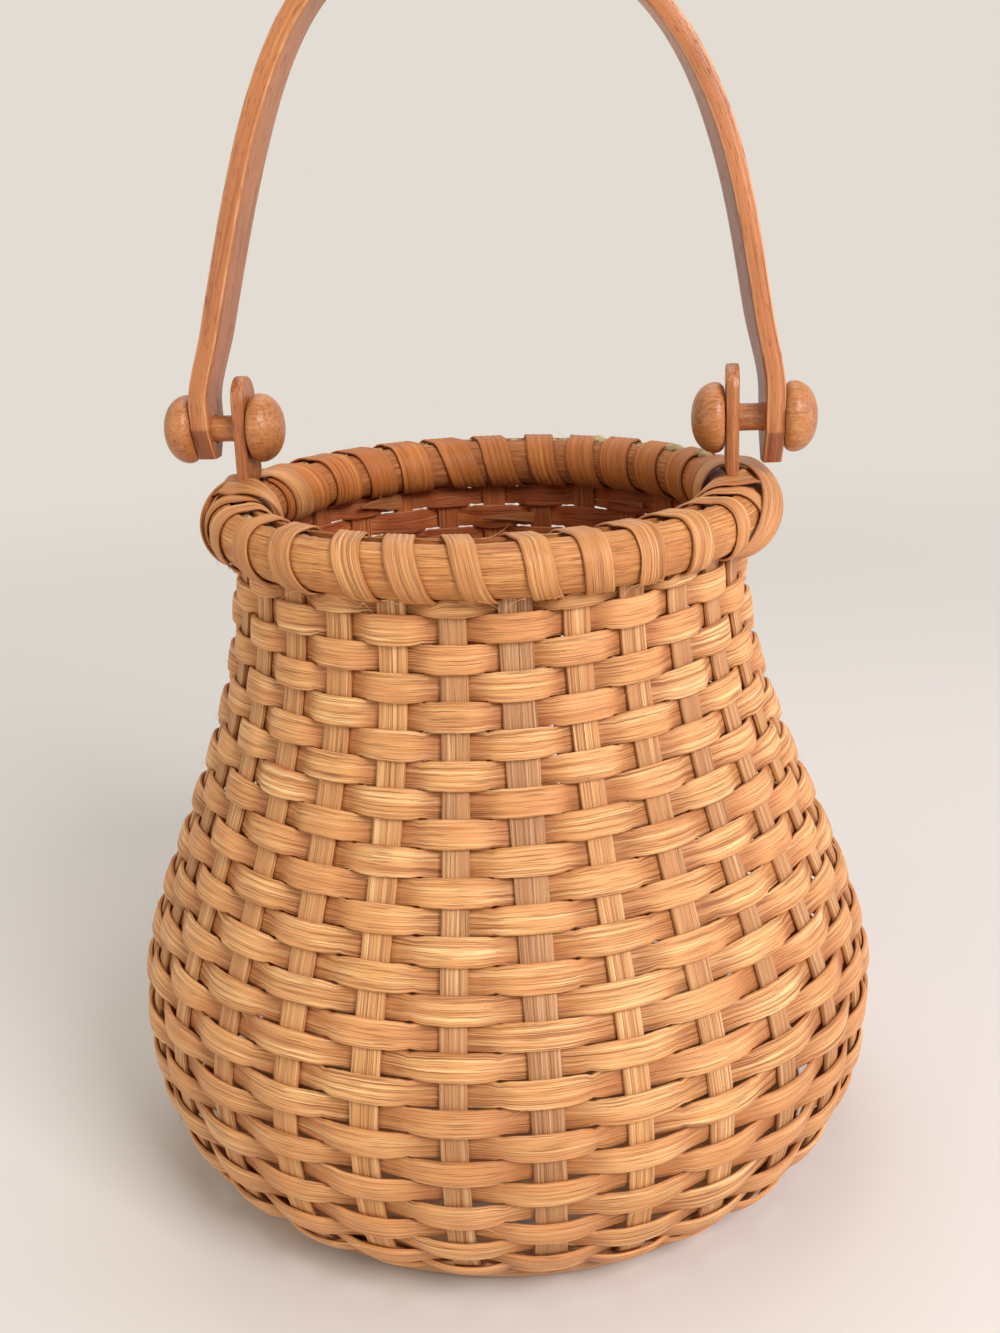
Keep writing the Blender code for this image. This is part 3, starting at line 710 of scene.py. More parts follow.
@dataclass(frozen=True)
class Stakes:
    """The flat upright strips, from the groove in the base up between the rims."""

    wall: Wall
    top_height: float = 0.1818
    seat: tuple[float, float] = (0.0790, 0.0058)
    points: int = 110
    edge_rounding: float = 0.00025
    face_crown: float = 0.00016
    breadths: Mapping[int, float] = field(default_factory=lambda: {
        0: 1.03, 1: 1.26, 2: 1.0, 3: 1.04, 27: 1.10, 28: 1.12})
    greyness: Mapping[int, float] = field(default_factory=lambda: {
        0: 0.65, 1: 1.0, 2: 0.1, 3: 0.3, 27: 0.0, 28: 0.0})

    def build(self, random: np.random.Generator) -> None:
        """Each stake is a ribbon down the wall line, turned to its place round the basket."""
        rows = np.linspace(0.0, self.wall.rows, self.points)
        wall = self.wall.at(rows)
        heights = np.linspace(self.top_height, self.wall.top[1], 5)[:-1]
        above = np.column_stack([np.full(4, self.wall.top[0]), heights])
        below = np.linspace(self.wall.at(np.array(self.wall.rows)), self.seat, 4)[1:]
        path = np.vstack([above, wall, below])
        lengths = travelled(path)
        down = unit(np.gradient(path, axis=0))
        skin = Skin()
        for stake in range(self.wall.stakes):
            angle = np.full(len(path), self.wall.first_stake_angle + stake * self.wall.stake_angle)
            centres = placed(path, angle)
            across = np.stack([np.cos(angle), np.sin(angle), 0 * angle], axis=-1)
            out = placed(np.stack([-down[:, 1], down[:, 0]], axis=-1), angle)
            usual, pallor = random.uniform(0.96, 1.12), random.uniform(0.0, 0.7)
            breadth = self.breadths.get(stake, usual)
            half = self.wall.stake_width / 2 * breadth
            half = half * (1 + wander(random, lengths / 0.03, 0.015) + wander(random, lengths / 0.0035, 0.008))
            section = reed_section(half, self.wall.strip_thickness, self.edge_rounding, self.face_crown)
            grey = self.greyness.get(stake, pallor) * np.ones(section.shape[:2])
            grid = ribbon(centres, across, out, section)
            around = travelled(np.vstack([grid[0], grid[0, :1]])) / breadth
            skin.add(grid, along=lengths + 1.7 * stake, around=around, mark=grey)
        piece = skin.build("reed_stakes")
        nodes = [f"stake_{number:02d}" for number in range(1, self.wall.stakes + 1)]
        fit(piece, Body.BASKET, FINISHES["stake_reed"].material(), nodes)


@dataclass(frozen=True)
class Weave:
    """The flat strip that climbs in a spiral, outside odd crossings and inside even ones, in six lengths."""

    wall: Wall
    lengths: int = 6
    taper: float = 0.6
    run_in: int = 20
    run_out: int = 14
    below_last: float = 0.30
    top_rise: float = 0.19
    points_per_crossing: int = 30
    thickness: float = 0.00105
    edge_rounding: float = 0.00036
    face_crown: float = 0.00022
    crest_spread: float = 0.00022
    crossing_pinch: float = 0.00050
    front_gaps: tuple[tuple[float, float], ...] = ((0.0, 0.40), (10.0, 0.55), (20.0, 0.95), (24.0, 0.8), (26.0, 0.4))
    back_gaps: tuple[tuple[float, float], ...] = ((0.0, 0.85), (6.0, 0.65), (9.0, 0.15), (26.0, 0.0))
    edge_unevenness: float = 0.00004
    usual_half_width: float = 0.0033
    least_half_width: float = 0.0006
    edge_shade: float = 0.12

    def path(self, at: np.ndarray, random: np.random.Generator) -> tuple[np.ndarray, ...]:
        """The strip's middle line: the wall at its row, plus the layer times the eased wave -cos(pi t) outwards.

        The wave is c(1 + f - f c^2), flatter on its crests where the stakes stand closer. The top row reaches up to
        the rim, but for where the lashing passes. Each edge wanders by itself, and the gaps at the crossings are
        wide in the back's upper rows and the front's lower ones, and narrow elsewhere.

        Args:
            at: Places along the strip, in crossings counted from the base up.
            random: The source of the hand's unevenness.

        Returns:
            Centres, across directions, outward directions, half widths and the wave, for each place.
        """
        wall = self.wall
        angle = wall.first_stake_angle + at * wall.stake_angle
        edge = wall.rows - at / wall.stakes
        top_edge = -self.top_rise * np.clip(0.5 - 0.9 * np.cos(2 * np.pi * (at - 0.57)), 0.0, 1.0)
        lowest = wall.rows + self.below_last
        upper, lower = np.clip(edge, top_edge, lowest), np.clip(edge + 1, 0.0, lowest)
        top, bottom = wall.at(upper), wall.at(lower)
        middle = wall.at((upper + lower) / 2)
        down = unit(bottom - top)
        out = np.stack([-down[:, 1], down[:, 0]], axis=-1)
        room = np.linalg.norm(bottom - top, axis=-1)
        flat = np.interp(middle[:, 0], (0.066, 0.098), (0.45, 0.15))
        crest = -np.cos(np.pi * at)
        wave = crest * (1 + flat - flat * crest**2)
        lift = wall.layer * (1.03 + wander(random, at, 0.05))
        middle = middle + (lift * wave)[:, None] * out
        middle = middle + (wander(random, at / 1.3, 0.00012) * np.abs(wave))[:, None] * down
        crested = np.abs(wave)
        towards_back = 0.5 - 0.5 * np.cos(angle)
        share = ((1 - towards_back) * np.interp(edge, *zip(*self.front_gaps))
                 + towards_back * np.interp(edge, *zip(*self.back_gaps)))
        gap = self.crossing_pinch * share * np.maximum(1 + wander(random, at, 0.5), 0.0)
        half = room / 2 + self.crest_spread * crested - gap * (1 - crested) ** 4
        half = half + wander(random, at / 1.7, 0.00009) * crested
        upper_edge, lower_edge = (wander(random, at / 0.16, self.edge_unevenness)
                                  + wander(random, at / 0.045, 0.8 * self.edge_unevenness) for _ in range(2))
        half = np.maximum(half + (upper_edge + lower_edge) / 2, self.least_half_width)
        middle = middle + ((lower_edge - upper_edge) / 2)[:, None] * down
        across = placed(down, angle)
        return placed(middle, angle), across, placed(out, angle), half, wave

    def build(self, random: np.random.Generator) -> None:
        """Each length is a ribbon along its own part of the spiral."""
        wall = self.wall
        first = math.ceil(self.taper * wall.stakes)
        last = math.floor((wall.rows + 1 - self.taper) * wall.stakes)
        splices = [round(place / 2) * 2 for place in np.linspace(first, last, self.lengths + 1)]
        splices[0], splices[-1] = first, last
        finish = FINISHES["weaver_reed"].material()
        usual = reed_section(np.array([self.usual_half_width]), self.thickness, self.edge_rounding, self.face_crown)[0]
        around = travelled(np.vstack([usual, usual[:1]]))
        for number, (start, end) in enumerate(zip(splices[:-1], splices[1:]), start=1):
            low = start + 0.02 if number > 1 else start - self.run_in
            high = end - 0.02 if number < self.lengths else end + self.run_out
            at = np.linspace(low, high, int((high - low) * self.points_per_crossing))
            centres, across, out, half, wave = self.path(at, random)
            section = reed_section(half, self.thickness, self.edge_rounding, self.face_crown)
            # Painted shade: the mark darkens the strip where it dips behind a stake and, by the edge shade, along its
            # edges.
            dip_shade = np.clip((0.75 - wave) / 1.3, 0.0, 1.0)[:, None]
            rim = np.clip(np.abs(section[..., 0]) / half[:, None] * 5 - 4, 0.0, 1.0)
            along = travelled(centres) + 3.1 * number
            grid = ribbon(centres, across, out, section)
            skin = Skin().add(grid, along=along, around=around, mark=np.maximum(dip_shade, self.edge_shade * rim))
            piece = skin.build(f"reed_weaver_{number}")
            fit(piece, Body.BASKET, finish, [f"weaver_{number}"])


@dataclass(frozen=True)
class Rim:
    """The two half-round hoops, the seagrass between them and the cane lashed over them."""

    wall: Wall
    middle: float = 0.17875
    half_height: float = 0.00635
    thickness: float = 0.0059
    outer_flat: float = 0.0662
    inner_flat: float = 0.0621
    around_points: int = 240
    ear_half_width: float = 0.0065
    filler_radius: float = 0.0640
    filler_heights: Mapping[str, float] = field(default_factory=lambda: {"front": 0.1824, "back": 0.1832})
    filler_bulge: float = 0.0027
    strand_radius: float = 0.00110
    twist_length: float = 0.0075
    cane_thickness: float = 0.00048
    cane_width: float = 0.0069
    cane_gap: float = 0.00015
    cane_strands: int = 5
    cane_strand: float = 0.00016
    cane_rounding: float = 0.00020
    cane_crown: float = 0.00006
    turn_points: int = 64
    top_share: float = 0.07
    front_places: Mapping[int, tuple[float, float, float]] = field(default_factory=lambda: {
        -4: (0.05, 0.05, 0.0), -3: (0.05, 0.05, 0.05), -2: (0.27, 0.33, 0.13), -1: (0.15, 0.15, 0.07),
        0: (0.12, 0.05, 0.08), 1: (0.20, 0.04, 0.08), 2: (0.08, -0.14, -0.12), 3: (0.02, -0.28, -0.22),
        4: (0.06, -0.30, -0.26), 5: (0.20, -0.20, -0.05), 6: (0.0, -0.10, -0.45)})
    band_width: float = 0.0098
    band_points: int = 110
    bands: Mapping[tuple[Side, bool], tuple[tuple[float, float, float, float], ...]] = field(default_factory=lambda: {
        (Side.RIGHT, True): ((0.42, 24.0, 0.9, 10.0), (0.30, 21.0, 1.4, 14.0), (0.21, 16.0, 1.3, 12.0),
                             (0.15, 9.0, 1.6, 8.0), (0.05, -3.0, 2.6, 0.0), (0.0, -9.0, 2.8, 0.0),
                             (-0.08, -12.5, 2.2, 0.0), (-0.18, -9.0, 1.0, 0.0), (-0.29, -8.0, 0.8, 0.0),
                             (-0.50, -12.0, 0.6, 0.0)),
        (Side.RIGHT, False): ((0.42, -15.0, 0.7, 0.0), (0.21, -7.0, 0.8, 0.0), (0.0, 7.0, 1.0, 0.0),
                              (-0.08, 11.5, 1.0, 0.0), (-0.29, 17.0, 1.0, 0.0), (-0.50, 22.0, 0.6, 0.0)),
        (Side.LEFT, True): ((0.42, 22.0, 0.7, 0.0), (0.21, 8.0, 0.8, 0.0), (0.0, -9.0, 1.2, 0.0),
                            (-0.08, -11.0, 1.2, 0.0), (-0.29, -16.0, 0.8, 0.0), (-0.50, -21.0, 0.6, 0.0)),
        (Side.LEFT, False): ((0.42, -15.0, 0.7, 0.0), (0.21, -7.0, 0.8, 0.0), (0.0, 6.0, 1.4, 8.0),
                             (-0.08, 10.5, 1.8, 12.0), (-0.29, 21.0, 2.4, 0.0), (-0.50, 33.0, 0.6, 0.0))})

    def hoops(self) -> None:
        """Each hoop is a half ellipse, flat towards the wall, carried round the basket's axis."""
        angle = np.linspace(0.0, 2 * math.pi, self.around_points, endpoint=False)
        arc = np.radians(np.linspace(-90.0, 90.0, 17))
        # The inner hoop takes the darker copy of the rim reed: painted shade.
        for name, node, flat, side, finish in (("outer_hoop", "outer_rim", self.outer_flat, 1, "rim_reed"),
                                               ("inner_hoop", "inner_rim", self.inner_flat, -1, "shaded_inner_rim_reed")):
            swell = 1 + 0.02 * np.sin(3 * angle + side) * np.sin(7 * angle + 2)
            radius = flat + side * self.thickness * np.cos(arc)[None, :] * swell[:, None]
            height = self.middle + self.half_height * np.sin(arc)[None, :] * (2 - swell[:, None])
            grid = placed(np.stack([radius, height], axis=-1), np.repeat(angle[:, None], len(arc), axis=1))
            around = travelled(np.vstack([grid[0], grid[0, :1]]))
            along = np.append(angle, 2 * math.pi) * flat
            piece = Skin().add(grid, along=along, around=around, joined=True).build(name)
            fit(piece, Body.BASKET, FINISHES[finish].material(), [node])

    def seagrass(self, random: np.random.Generator) -> None:
        """Two strands of rush twisted round each other, from one ear round to the other on both sides."""
        finish = FINISHES["seagrass"].material()
        reach = math.pi / 2 - math.asin((self.ear_half_width + 0.0006) / self.filler_radius)
        for name, centre in (("front", 0.0), ("back", math.pi)):
            count = int(2 * reach * self.filler_radius / self.twist_length * 14)
            angle = np.linspace(centre - reach, centre + reach, count)
            along = angle * self.filler_radius
            between = (angle - self.wall.first_stake_angle) / self.wall.stake_angle - self.top_share
            loose = np.clip(1.3 * np.sin(angle), 0.0, 1.0) if name == "back" else 0.0
            bulge = loose * self.filler_bulge * np.sin(np.pi * between) ** 2
            bulge = bulge * np.clip(0.55 + wander(random, along / 0.016, 0.4), 0.0, 1.0)
            skin = Skin()
            for strand in (0, 1):
                turn = 2 * np.pi * along / self.twist_length + np.pi * strand
                fat = 1 + wander(random, along / 0.004, 0.16)
                away = 0.85 * self.strand_radius
                line = np.stack([self.filler_radius + away * np.cos(turn),
                                 self.filler_heights[name] + bulge + away * np.sin(turn)], axis=-1)
                round_turn = np.linspace(0.0, 2 * np.pi, 8, endpoint=False)
                radius = (self.strand_radius * fat)[:, None]
                circle = np.stack([np.cos(round_turn), np.sin(round_turn)], axis=-1)
                ring = line[:, None] + radius[..., None] * circle
                grid = placed(ring, np.repeat(angle[:, None], 8, axis=1))
                skin.add(grid, along=along + 2.0 * strand)
            piece = skin.build(f"seagrass_{name}")
            fit(piece, Body.BASKET, finish, [f"rim_filler_{name}"])

    def outline(self) -> tuple[np.ndarray, np.ndarray]:
        """The closed line round both hoops that the cane follows: two half ellipses joined by level stretches.

        Returns:
            200 (radius, height) points, evenly spaced from the outside's top downwards, and the outward normals.
        """
        depth = self.thickness + self.cane_gap + self.cane_thickness / 2
        rise = self.half_height + self.cane_gap + self.cane_thickness / 2
        arc = np.linspace(math.pi / 2, -math.pi / 2, 40)
        outer = np.stack([self.outer_flat + depth * np.cos(arc), self.middle + rise * np.sin(arc)], axis=-1)
        inner = np.stack([self.inner_flat - depth * np.cos(arc), self.middle + rise * np.sin(arc)], axis=-1)[::-1]
        loop = np.vstack([outer, inner, outer[:1]])
        lengths = travelled(loop)
        even = np.linspace(0.0, lengths[-1], 201)[:-1]
        points = np.stack([np.interp(even, lengths, loop[:, axis]) for axis in (0, 1)], axis=-1)
        step = unit(np.roll(points, -1, axis=0) - np.roll(points, 1, axis=0))
        return points, np.stack([-step[:, 1], step[:, 0]], axis=-1)

    def wound(self, turns: np.ndarray, angle: np.ndarray, width: np.ndarray, lift: np.ndarray,
              lean: np.ndarray) -> tuple[np.ndarray, np.ndarray]:
        """A cane ribbon on the outline: the outline at the part turn, pushed out by lift, at its angle.

        Args:
            turns: Places along the cane, in turns round the outline.
            angle: The angle round the basket at each place.
            width: The cane's width at each place.
            lift: How far it stands off the outline at each place.
            lean: How far its face is turned about its length, in radians, raising the edge at the larger angle.

        Returns:
            The ribbon's grid, and a mark that is 1 on its side edges, where the finish paints shade.
        """
        points, normals = self.outline()
        wrapped = (turns % 1.0) * len(points)
        stations = np.arange(len(points) + 1)
        line, rise = (np.stack([np.interp(wrapped, stations, np.append(loop[:, axis], loop[0, axis]))
                                for axis in (0, 1)], axis=-1) for loop in (points, normals))
        centres, out = placed(line + lift[:, None] * rise, angle), placed(rise, angle)
        level = np.stack([np.cos(angle), np.sin(angle), 0 * angle], axis=-1)
        across = np.cos(lean)[:, None] * level + np.sin(lean)[:, None] * out
        section = reed_section(width / 2, self.cane_thickness, self.cane_rounding, self.cane_crown,
                               self.cane_strands, self.cane_strand)
        # Painted shade along the cane's side edges.
        side = np.clip(np.abs(section[..., 0]) / (width[:, None] / 2) * 8 - 7, 0.0, 1.0)
        return ribbon(centres, across, out, section), side

    def places(self, turns: np.ndarray, known: Mapping[int, tuple[float, float, float]],
               random: np.random.Generator) -> np.ndarray:
        """How far the cane strays from an even winding, in steps between stakes, eased over a fifth of a turn.

        Args:
            turns: Places along the cane, in turns, a whole number being on the rim's top.
            known: The straying at the top, the outside's middle and the foot of some turns.
            random: The source of the others.

        Returns:
            One value for each place.
        """
        whole = np.arange(math.floor(turns[0]), math.ceil(turns[-1]) + 1)
        values = np.array([known.get(int(turn), tuple(random.normal(0.0, 0.06, 3))) for turn in whole])
        at = (whole[:, None] + np.array([0.0, 0.25, 0.5])).ravel()
        strayed = np.interp(turns, at, values.ravel())
        window = np.hanning(self.turn_points // 5 + 2)
        padded = np.pad(strayed, len(window) // 2, mode="edge")
        return np.convolve(padded, window / window.sum(), mode="same")[len(window) // 2:][:len(turns)]

    def lashing(self, random: np.random.Generator) -> None:
        """One turn of cane in each gap between stakes, and a crossed pair of broader bands at each ear."""
        # The back's cane takes the darker copy of the cane finish: painted shade.
        finishes = {"front": FINISHES["lashing_cane"].material(),
                    "back": FINISHES["shaded_back_lashing_cane"].material()}
        wall = self.wall
        gaps = wall.first_stake_angle + wall.stake_angle * (np.arange(wall.stakes) + 0.5)
        clear = math.asin((self.ear_half_width + 0.0029) / self.filler_radius)
        right = [gap for gap in range(wall.stakes) if gaps[gap] < math.pi / 2 - clear]
        left = [gap for gap in range(wall.stakes) if gaps[gap] > 1.5 * math.pi + clear]
        back = [gap for gap in range(wall.stakes) if math.pi / 2 + clear < gaps[gap] < 1.5 * math.pi - clear]
        for name, first, last in (("front", left[0] - wall.stakes, right[-1]), ("back", back[0], back[-1])):
            turns = np.linspace(first - 0.02, last + 0.90, (last - first + 1) * self.turn_points)
            known = self.front_places if name == "front" else {}
            steps = turns + self.top_share + self.places(turns, known, random)
            angle = wall.first_stake_angle + wall.stake_angle * steps
            broad = np.interp(turns, (back[0], back[-1]), (1.12, 1.40)) if name == "back" else 1.0
            uneven = 1 + wander(random, turns / 0.7, 0.06) + wander(random, turns / 0.04, 0.012)
            width = self.cane_width * broad * uneven
            lift = 0.0001 + np.abs(wander(random, turns / 0.3, 0.0001))
            grid, side = self.wound(turns, angle, width, lift, 0 * turns)
            piece = Skin().add(grid, mark=side).build(f"cane_lashing_{name}")
            fit(piece, Body.BASKET, finishes[name], [f"lashing_{name}"])
        for side in Side:
            skin = Skin()
            for towards_back in (True, False):
                grid, mark = self.ear_band(side, towards_back, random)
                skin.add(grid, mark=mark)
            piece = skin.build(f"cane_cross_{side.label}")
            fit(piece, Body.BASKET, finishes["front"], [])

    def ear_band(self, side: Side, towards_back: bool,
                 random: np.random.Generator) -> tuple[np.ndarray, np.ndarray]:
        """One band of a crossed pair: up over the outside past the ear's foot, over the top and down the inside.

        Its knots give the place in turns, the degrees from the ear towards the front, the lift in millimetres and how
        many degrees its face is turned towards the front, eased in between.

        Args:
            side: Which ear.
            towards_back: Whether it leans towards the back on its way up.
            random: The source of its unevenness.

        Returns:
            The ribbon's grid and its mark.
        """
        knots = np.array(self.bands[(side, towards_back)])
        share = np.linspace(0.0, 1.0, self.band_points)
        turns = knots[0, 0] + (knots[-1, 0] - knots[0, 0]) * share
        window = np.hanning(self.band_points // 5 * 2 + 1)
        margin = len(window) // 2
        eased = []
        for column in (1, 2, 3):
            values = np.interp(-turns, -knots[:, 0], knots[:, column])
            padded = np.pad(values, margin, mode="reflect", reflect_type="odd")
            eased.append(np.convolve(padded, window / window.sum(), mode="valid"))
        angle = side.value * (math.pi / 2 - np.radians(eased[0]))
        lift = np.maximum(eased[1], 0.5) * 0.001
        width = self.band_width * (1 + wander(random, share / 0.2, 0.04)) * (1 - 0.15 * np.abs(2 * share - 0.9))
        return self.wound(turns, angle, width, lift, side.value * np.radians(eased[2]))

    def build(self, random: np.random.Generator) -> None:
        """The hoops, the seagrass and the cane, in that order."""
        self.hoops()
        self.seagrass(random)
        self.lashing(random)


@dataclass(frozen=True)
class Frays:
    """Slivers that have lifted from the edges of the strips and from the rim, and ends left by splicing."""

    weave: Weave
    rim: Rim
    wall_slivers: int = 190
    rim_slivers: int = 46
    rings: int = 7
    thickness: float = 0.00009
    sliver_crossings: tuple[int, int] = (12, 382)
    shortest: float = 0.003
    longest: float = 0.009
    tails: tuple[tuple[float, float], ...] = ((771.0, 0.0024), (765.3, 0.0008), (739.0, 0.0016), (712.0, 0.0020))

    def sliver(self, root: np.ndarray, along: np.ndarray, out: np.ndarray, aside: np.ndarray,
               length: float, bend: Sequence[float]) -> np.ndarray:
        """A thin four-sided spike along root + length (s along + s^2 lift out + s^2 drift aside).

        Its radius is r (1 - 0.85 s).

        Args:
            root: Where it springs from.
            along: The direction it leaves in.
            out: The direction it lifts in.
            aside: The direction it drifts in.
            length: Its length.
            bend: Its lift and its drift, in lengths.

        Returns:
            A grid (rings, 4, 3).
        """
        share = np.linspace(0.0, 1.0, self.rings)[:, None]
        line = root + length * (share * along + share**2 * (bend[0] * out + bend[1] * aside))
        radius = self.thickness * (1 - 0.85 * share)[..., None]
        return line[:, None] + radius * np.stack([out, aside, -out, -aside])[None]

    def on_wall(self, random: np.random.Generator, skin: Skin) -> None:
        """Slivers along the upper and lower edges of the weaver's outer floats."""
        crossings = 2 * random.integers(*self.sliver_crossings, self.wall_slivers) + 1
        at = np.sort(crossings + random.uniform(-0.42, 0.42, self.wall_slivers))
        centres, across, out, half, _ = self.weave.path(at, random)
        angle = self.weave.wall.first_stake_angle + at * self.weave.wall.stake_angle
        level = np.stack([np.cos(angle), np.sin(angle), 0 * angle], axis=-1)
        sides, heads = random.choice((-1.0, 1.0), (2, len(at)))
        for n in range(len(at)):
            root = centres[n] + 0.88 * sides[n] * half[n] * across[n] + 0.0005 * out[n]
            bend = (random.uniform(0.10, 0.35), random.uniform(0.05, 0.45))
            length = random.uniform(self.shortest, self.longest)
            skin.add(self.sliver(root, heads[n] * level[n], out[n], sides[n] * across[n], length, bend))

    def on_rim(self, random: np.random.Generator, skin: Skin) -> None:
        """Slivers under the outer hoop and on the rim's top, clear of the ears."""
        for n in range(self.rim_slivers):
            low = n % 3 > 0
            angle = np.array(random.uniform(-1.25, 1.25) + (math.pi if random.random() < 0.35 else 0.0))
            radius, height = (self.rim.outer_flat + 0.0048, self.rim.middle - 0.0055) if low else (
                self.rim.filler_radius, self.rim.middle + self.rim.half_height + 0.0004)
            root = placed(np.array([radius, height]), angle)
            up = np.array([0.0, 0.0, -1.0 if low else 1.0])
            level = np.array([np.cos(angle), np.sin(angle), 0.0]) * random.choice((-1.0, 1.0))
            bend = (random.uniform(0.05, 0.4), random.uniform(0.1, 0.8))
            length = random.uniform(self.shortest, 0.8 * self.longest)
            skin.add(self.sliver(root, level, outward(angle), up, length, bend))

    def tail(self, start: float, broad: float, random: np.random.Generator) -> tuple[np.ndarray, np.ndarray]:
        """The cut end of a spliced length inside: a strip off the wall that narrows to a torn point and curls away.

        Args:
            start: The crossing that it comes out of.
            broad: Its half width where it comes out.
            random: The source of its unevenness.

        Returns:
            The ribbon's grid and its mark, an even painted shade.
        """
        wall = self.weave.wall
        at = np.linspace(start + 0.1, start + 1.25, 26)
        share = np.linspace(0.0, 1.0, 26)
        row = np.maximum(wall.rows - at / wall.stakes + 0.5 - 0.10 * share, 0.1)
        angle = wall.first_stake_angle + at * wall.stake_angle
        points, below = wall.at(row), wall.at(row + 0.3)
        down = unit(below - points)
        out = np.stack([-down[:, 1], down[:, 0]], axis=-1)
        away = -(0.0026 + 0.0030 * share**2)
        centres = placed(points + away[:, None] * out, angle)
        half = np.maximum(broad * (1 - 0.88 * share**1.5) * (1 + wander(random, share / 0.12, 0.06)), 0.00028)
        section = reed_section(half, 0.0006, 0.00022, 0.0001)
        # The even mark of 0.3 paints shade over the whole tail.
        return ribbon(centres, placed(down, angle), placed(out, angle), section), np.full(section.shape[:2], 0.3)

    def build(self, random: np.random.Generator) -> None:
        """The slivers as one piece and the torn ends as another."""
        skin = Skin()
        self.on_wall(random, skin)
        self.on_rim(random, skin)
        fit(skin.build("loose_fibres"), Body.BASKET, FINISHES["fibre_reed"].material(), [])
        skin = Skin()
        for start, broad in self.tails:
            grid, mark = self.tail(start, broad, random)
            skin.add(grid, mark=mark)
        fit(skin.build("splice_ends"), Body.BASKET, FINISHES["shaded_splice_reed"].material(), [])


@dataclass(frozen=True)
class Base:
    """The turned disc with its slanting groove."""

    profile: tuple[tuple[float, float], ...] = (
        (0.0, 0.0), (0.030, 0.0), (0.0602, 0.0), (0.0760, 0.0), (0.0781, 0.0004), (0.0813, 0.0022),
        (0.0833, 0.0042), (0.0840, 0.0056))
    groove: tuple[tuple[float, float], ...] = ((0.0840, 0.0092), (0.0793, 0.0049), (0.0780, 0.0063), (0.0836, 0.0107))
    top: tuple[tuple[float, float], ...] = ((0.0836, 0.0112), (0.0830, 0.0118), (0.0822, 0.0120), (0.0760, 0.0120),
                                            (0.0755, 0.0118), (0.0750, 0.0120), (0.040, 0.0120), (0.0, 0.0120))
    segments: int = 160

    def build(self) -> None:
        """The profile turned about Z."""
        line = np.array([*self.profile, *self.groove, *self.top])
        piece = Skin().add(turned(line, self.segments, 0.0, Vector((0, 0, 1)))).build("turned_base")
        fit(piece, Body.BASKET, FINISHES["base_wood"].material(), ["base"])


def turned(line: np.ndarray, segments: int, height: float, axis: Vector) -> np.ndarray:
    """A solid of revolution: radius times (cos a, sin a) across the axis, plus the distance along it.

    Points on the axis are given a hair's radius, so that the ends close with a small face.

    Args:
        line: (radius, distance) pairs from one end of the axis to the other.
        segments: How many steps round.
        height: The height of the axis' origin above the floor.
        axis: The turning axis, X, -X or Z.

    Returns:
        A grid of points.
    """
    around = np.linspace(0.0, 2 * math.pi, segments, endpoint=False)
    radius = np.maximum(line[:, :1], 0.00002)
    along = np.array(axis)
    across = np.array([0.0, 1.0, 0.0])
    other = np.cross(along, across)
    circle = np.cos(around)[:, None] * across + np.sin(around)[:, None] * other
    grid = radius[..., None] * circle[None] + line[:, 1][:, None, None] * along
    grid[..., 2] += height
    return grid


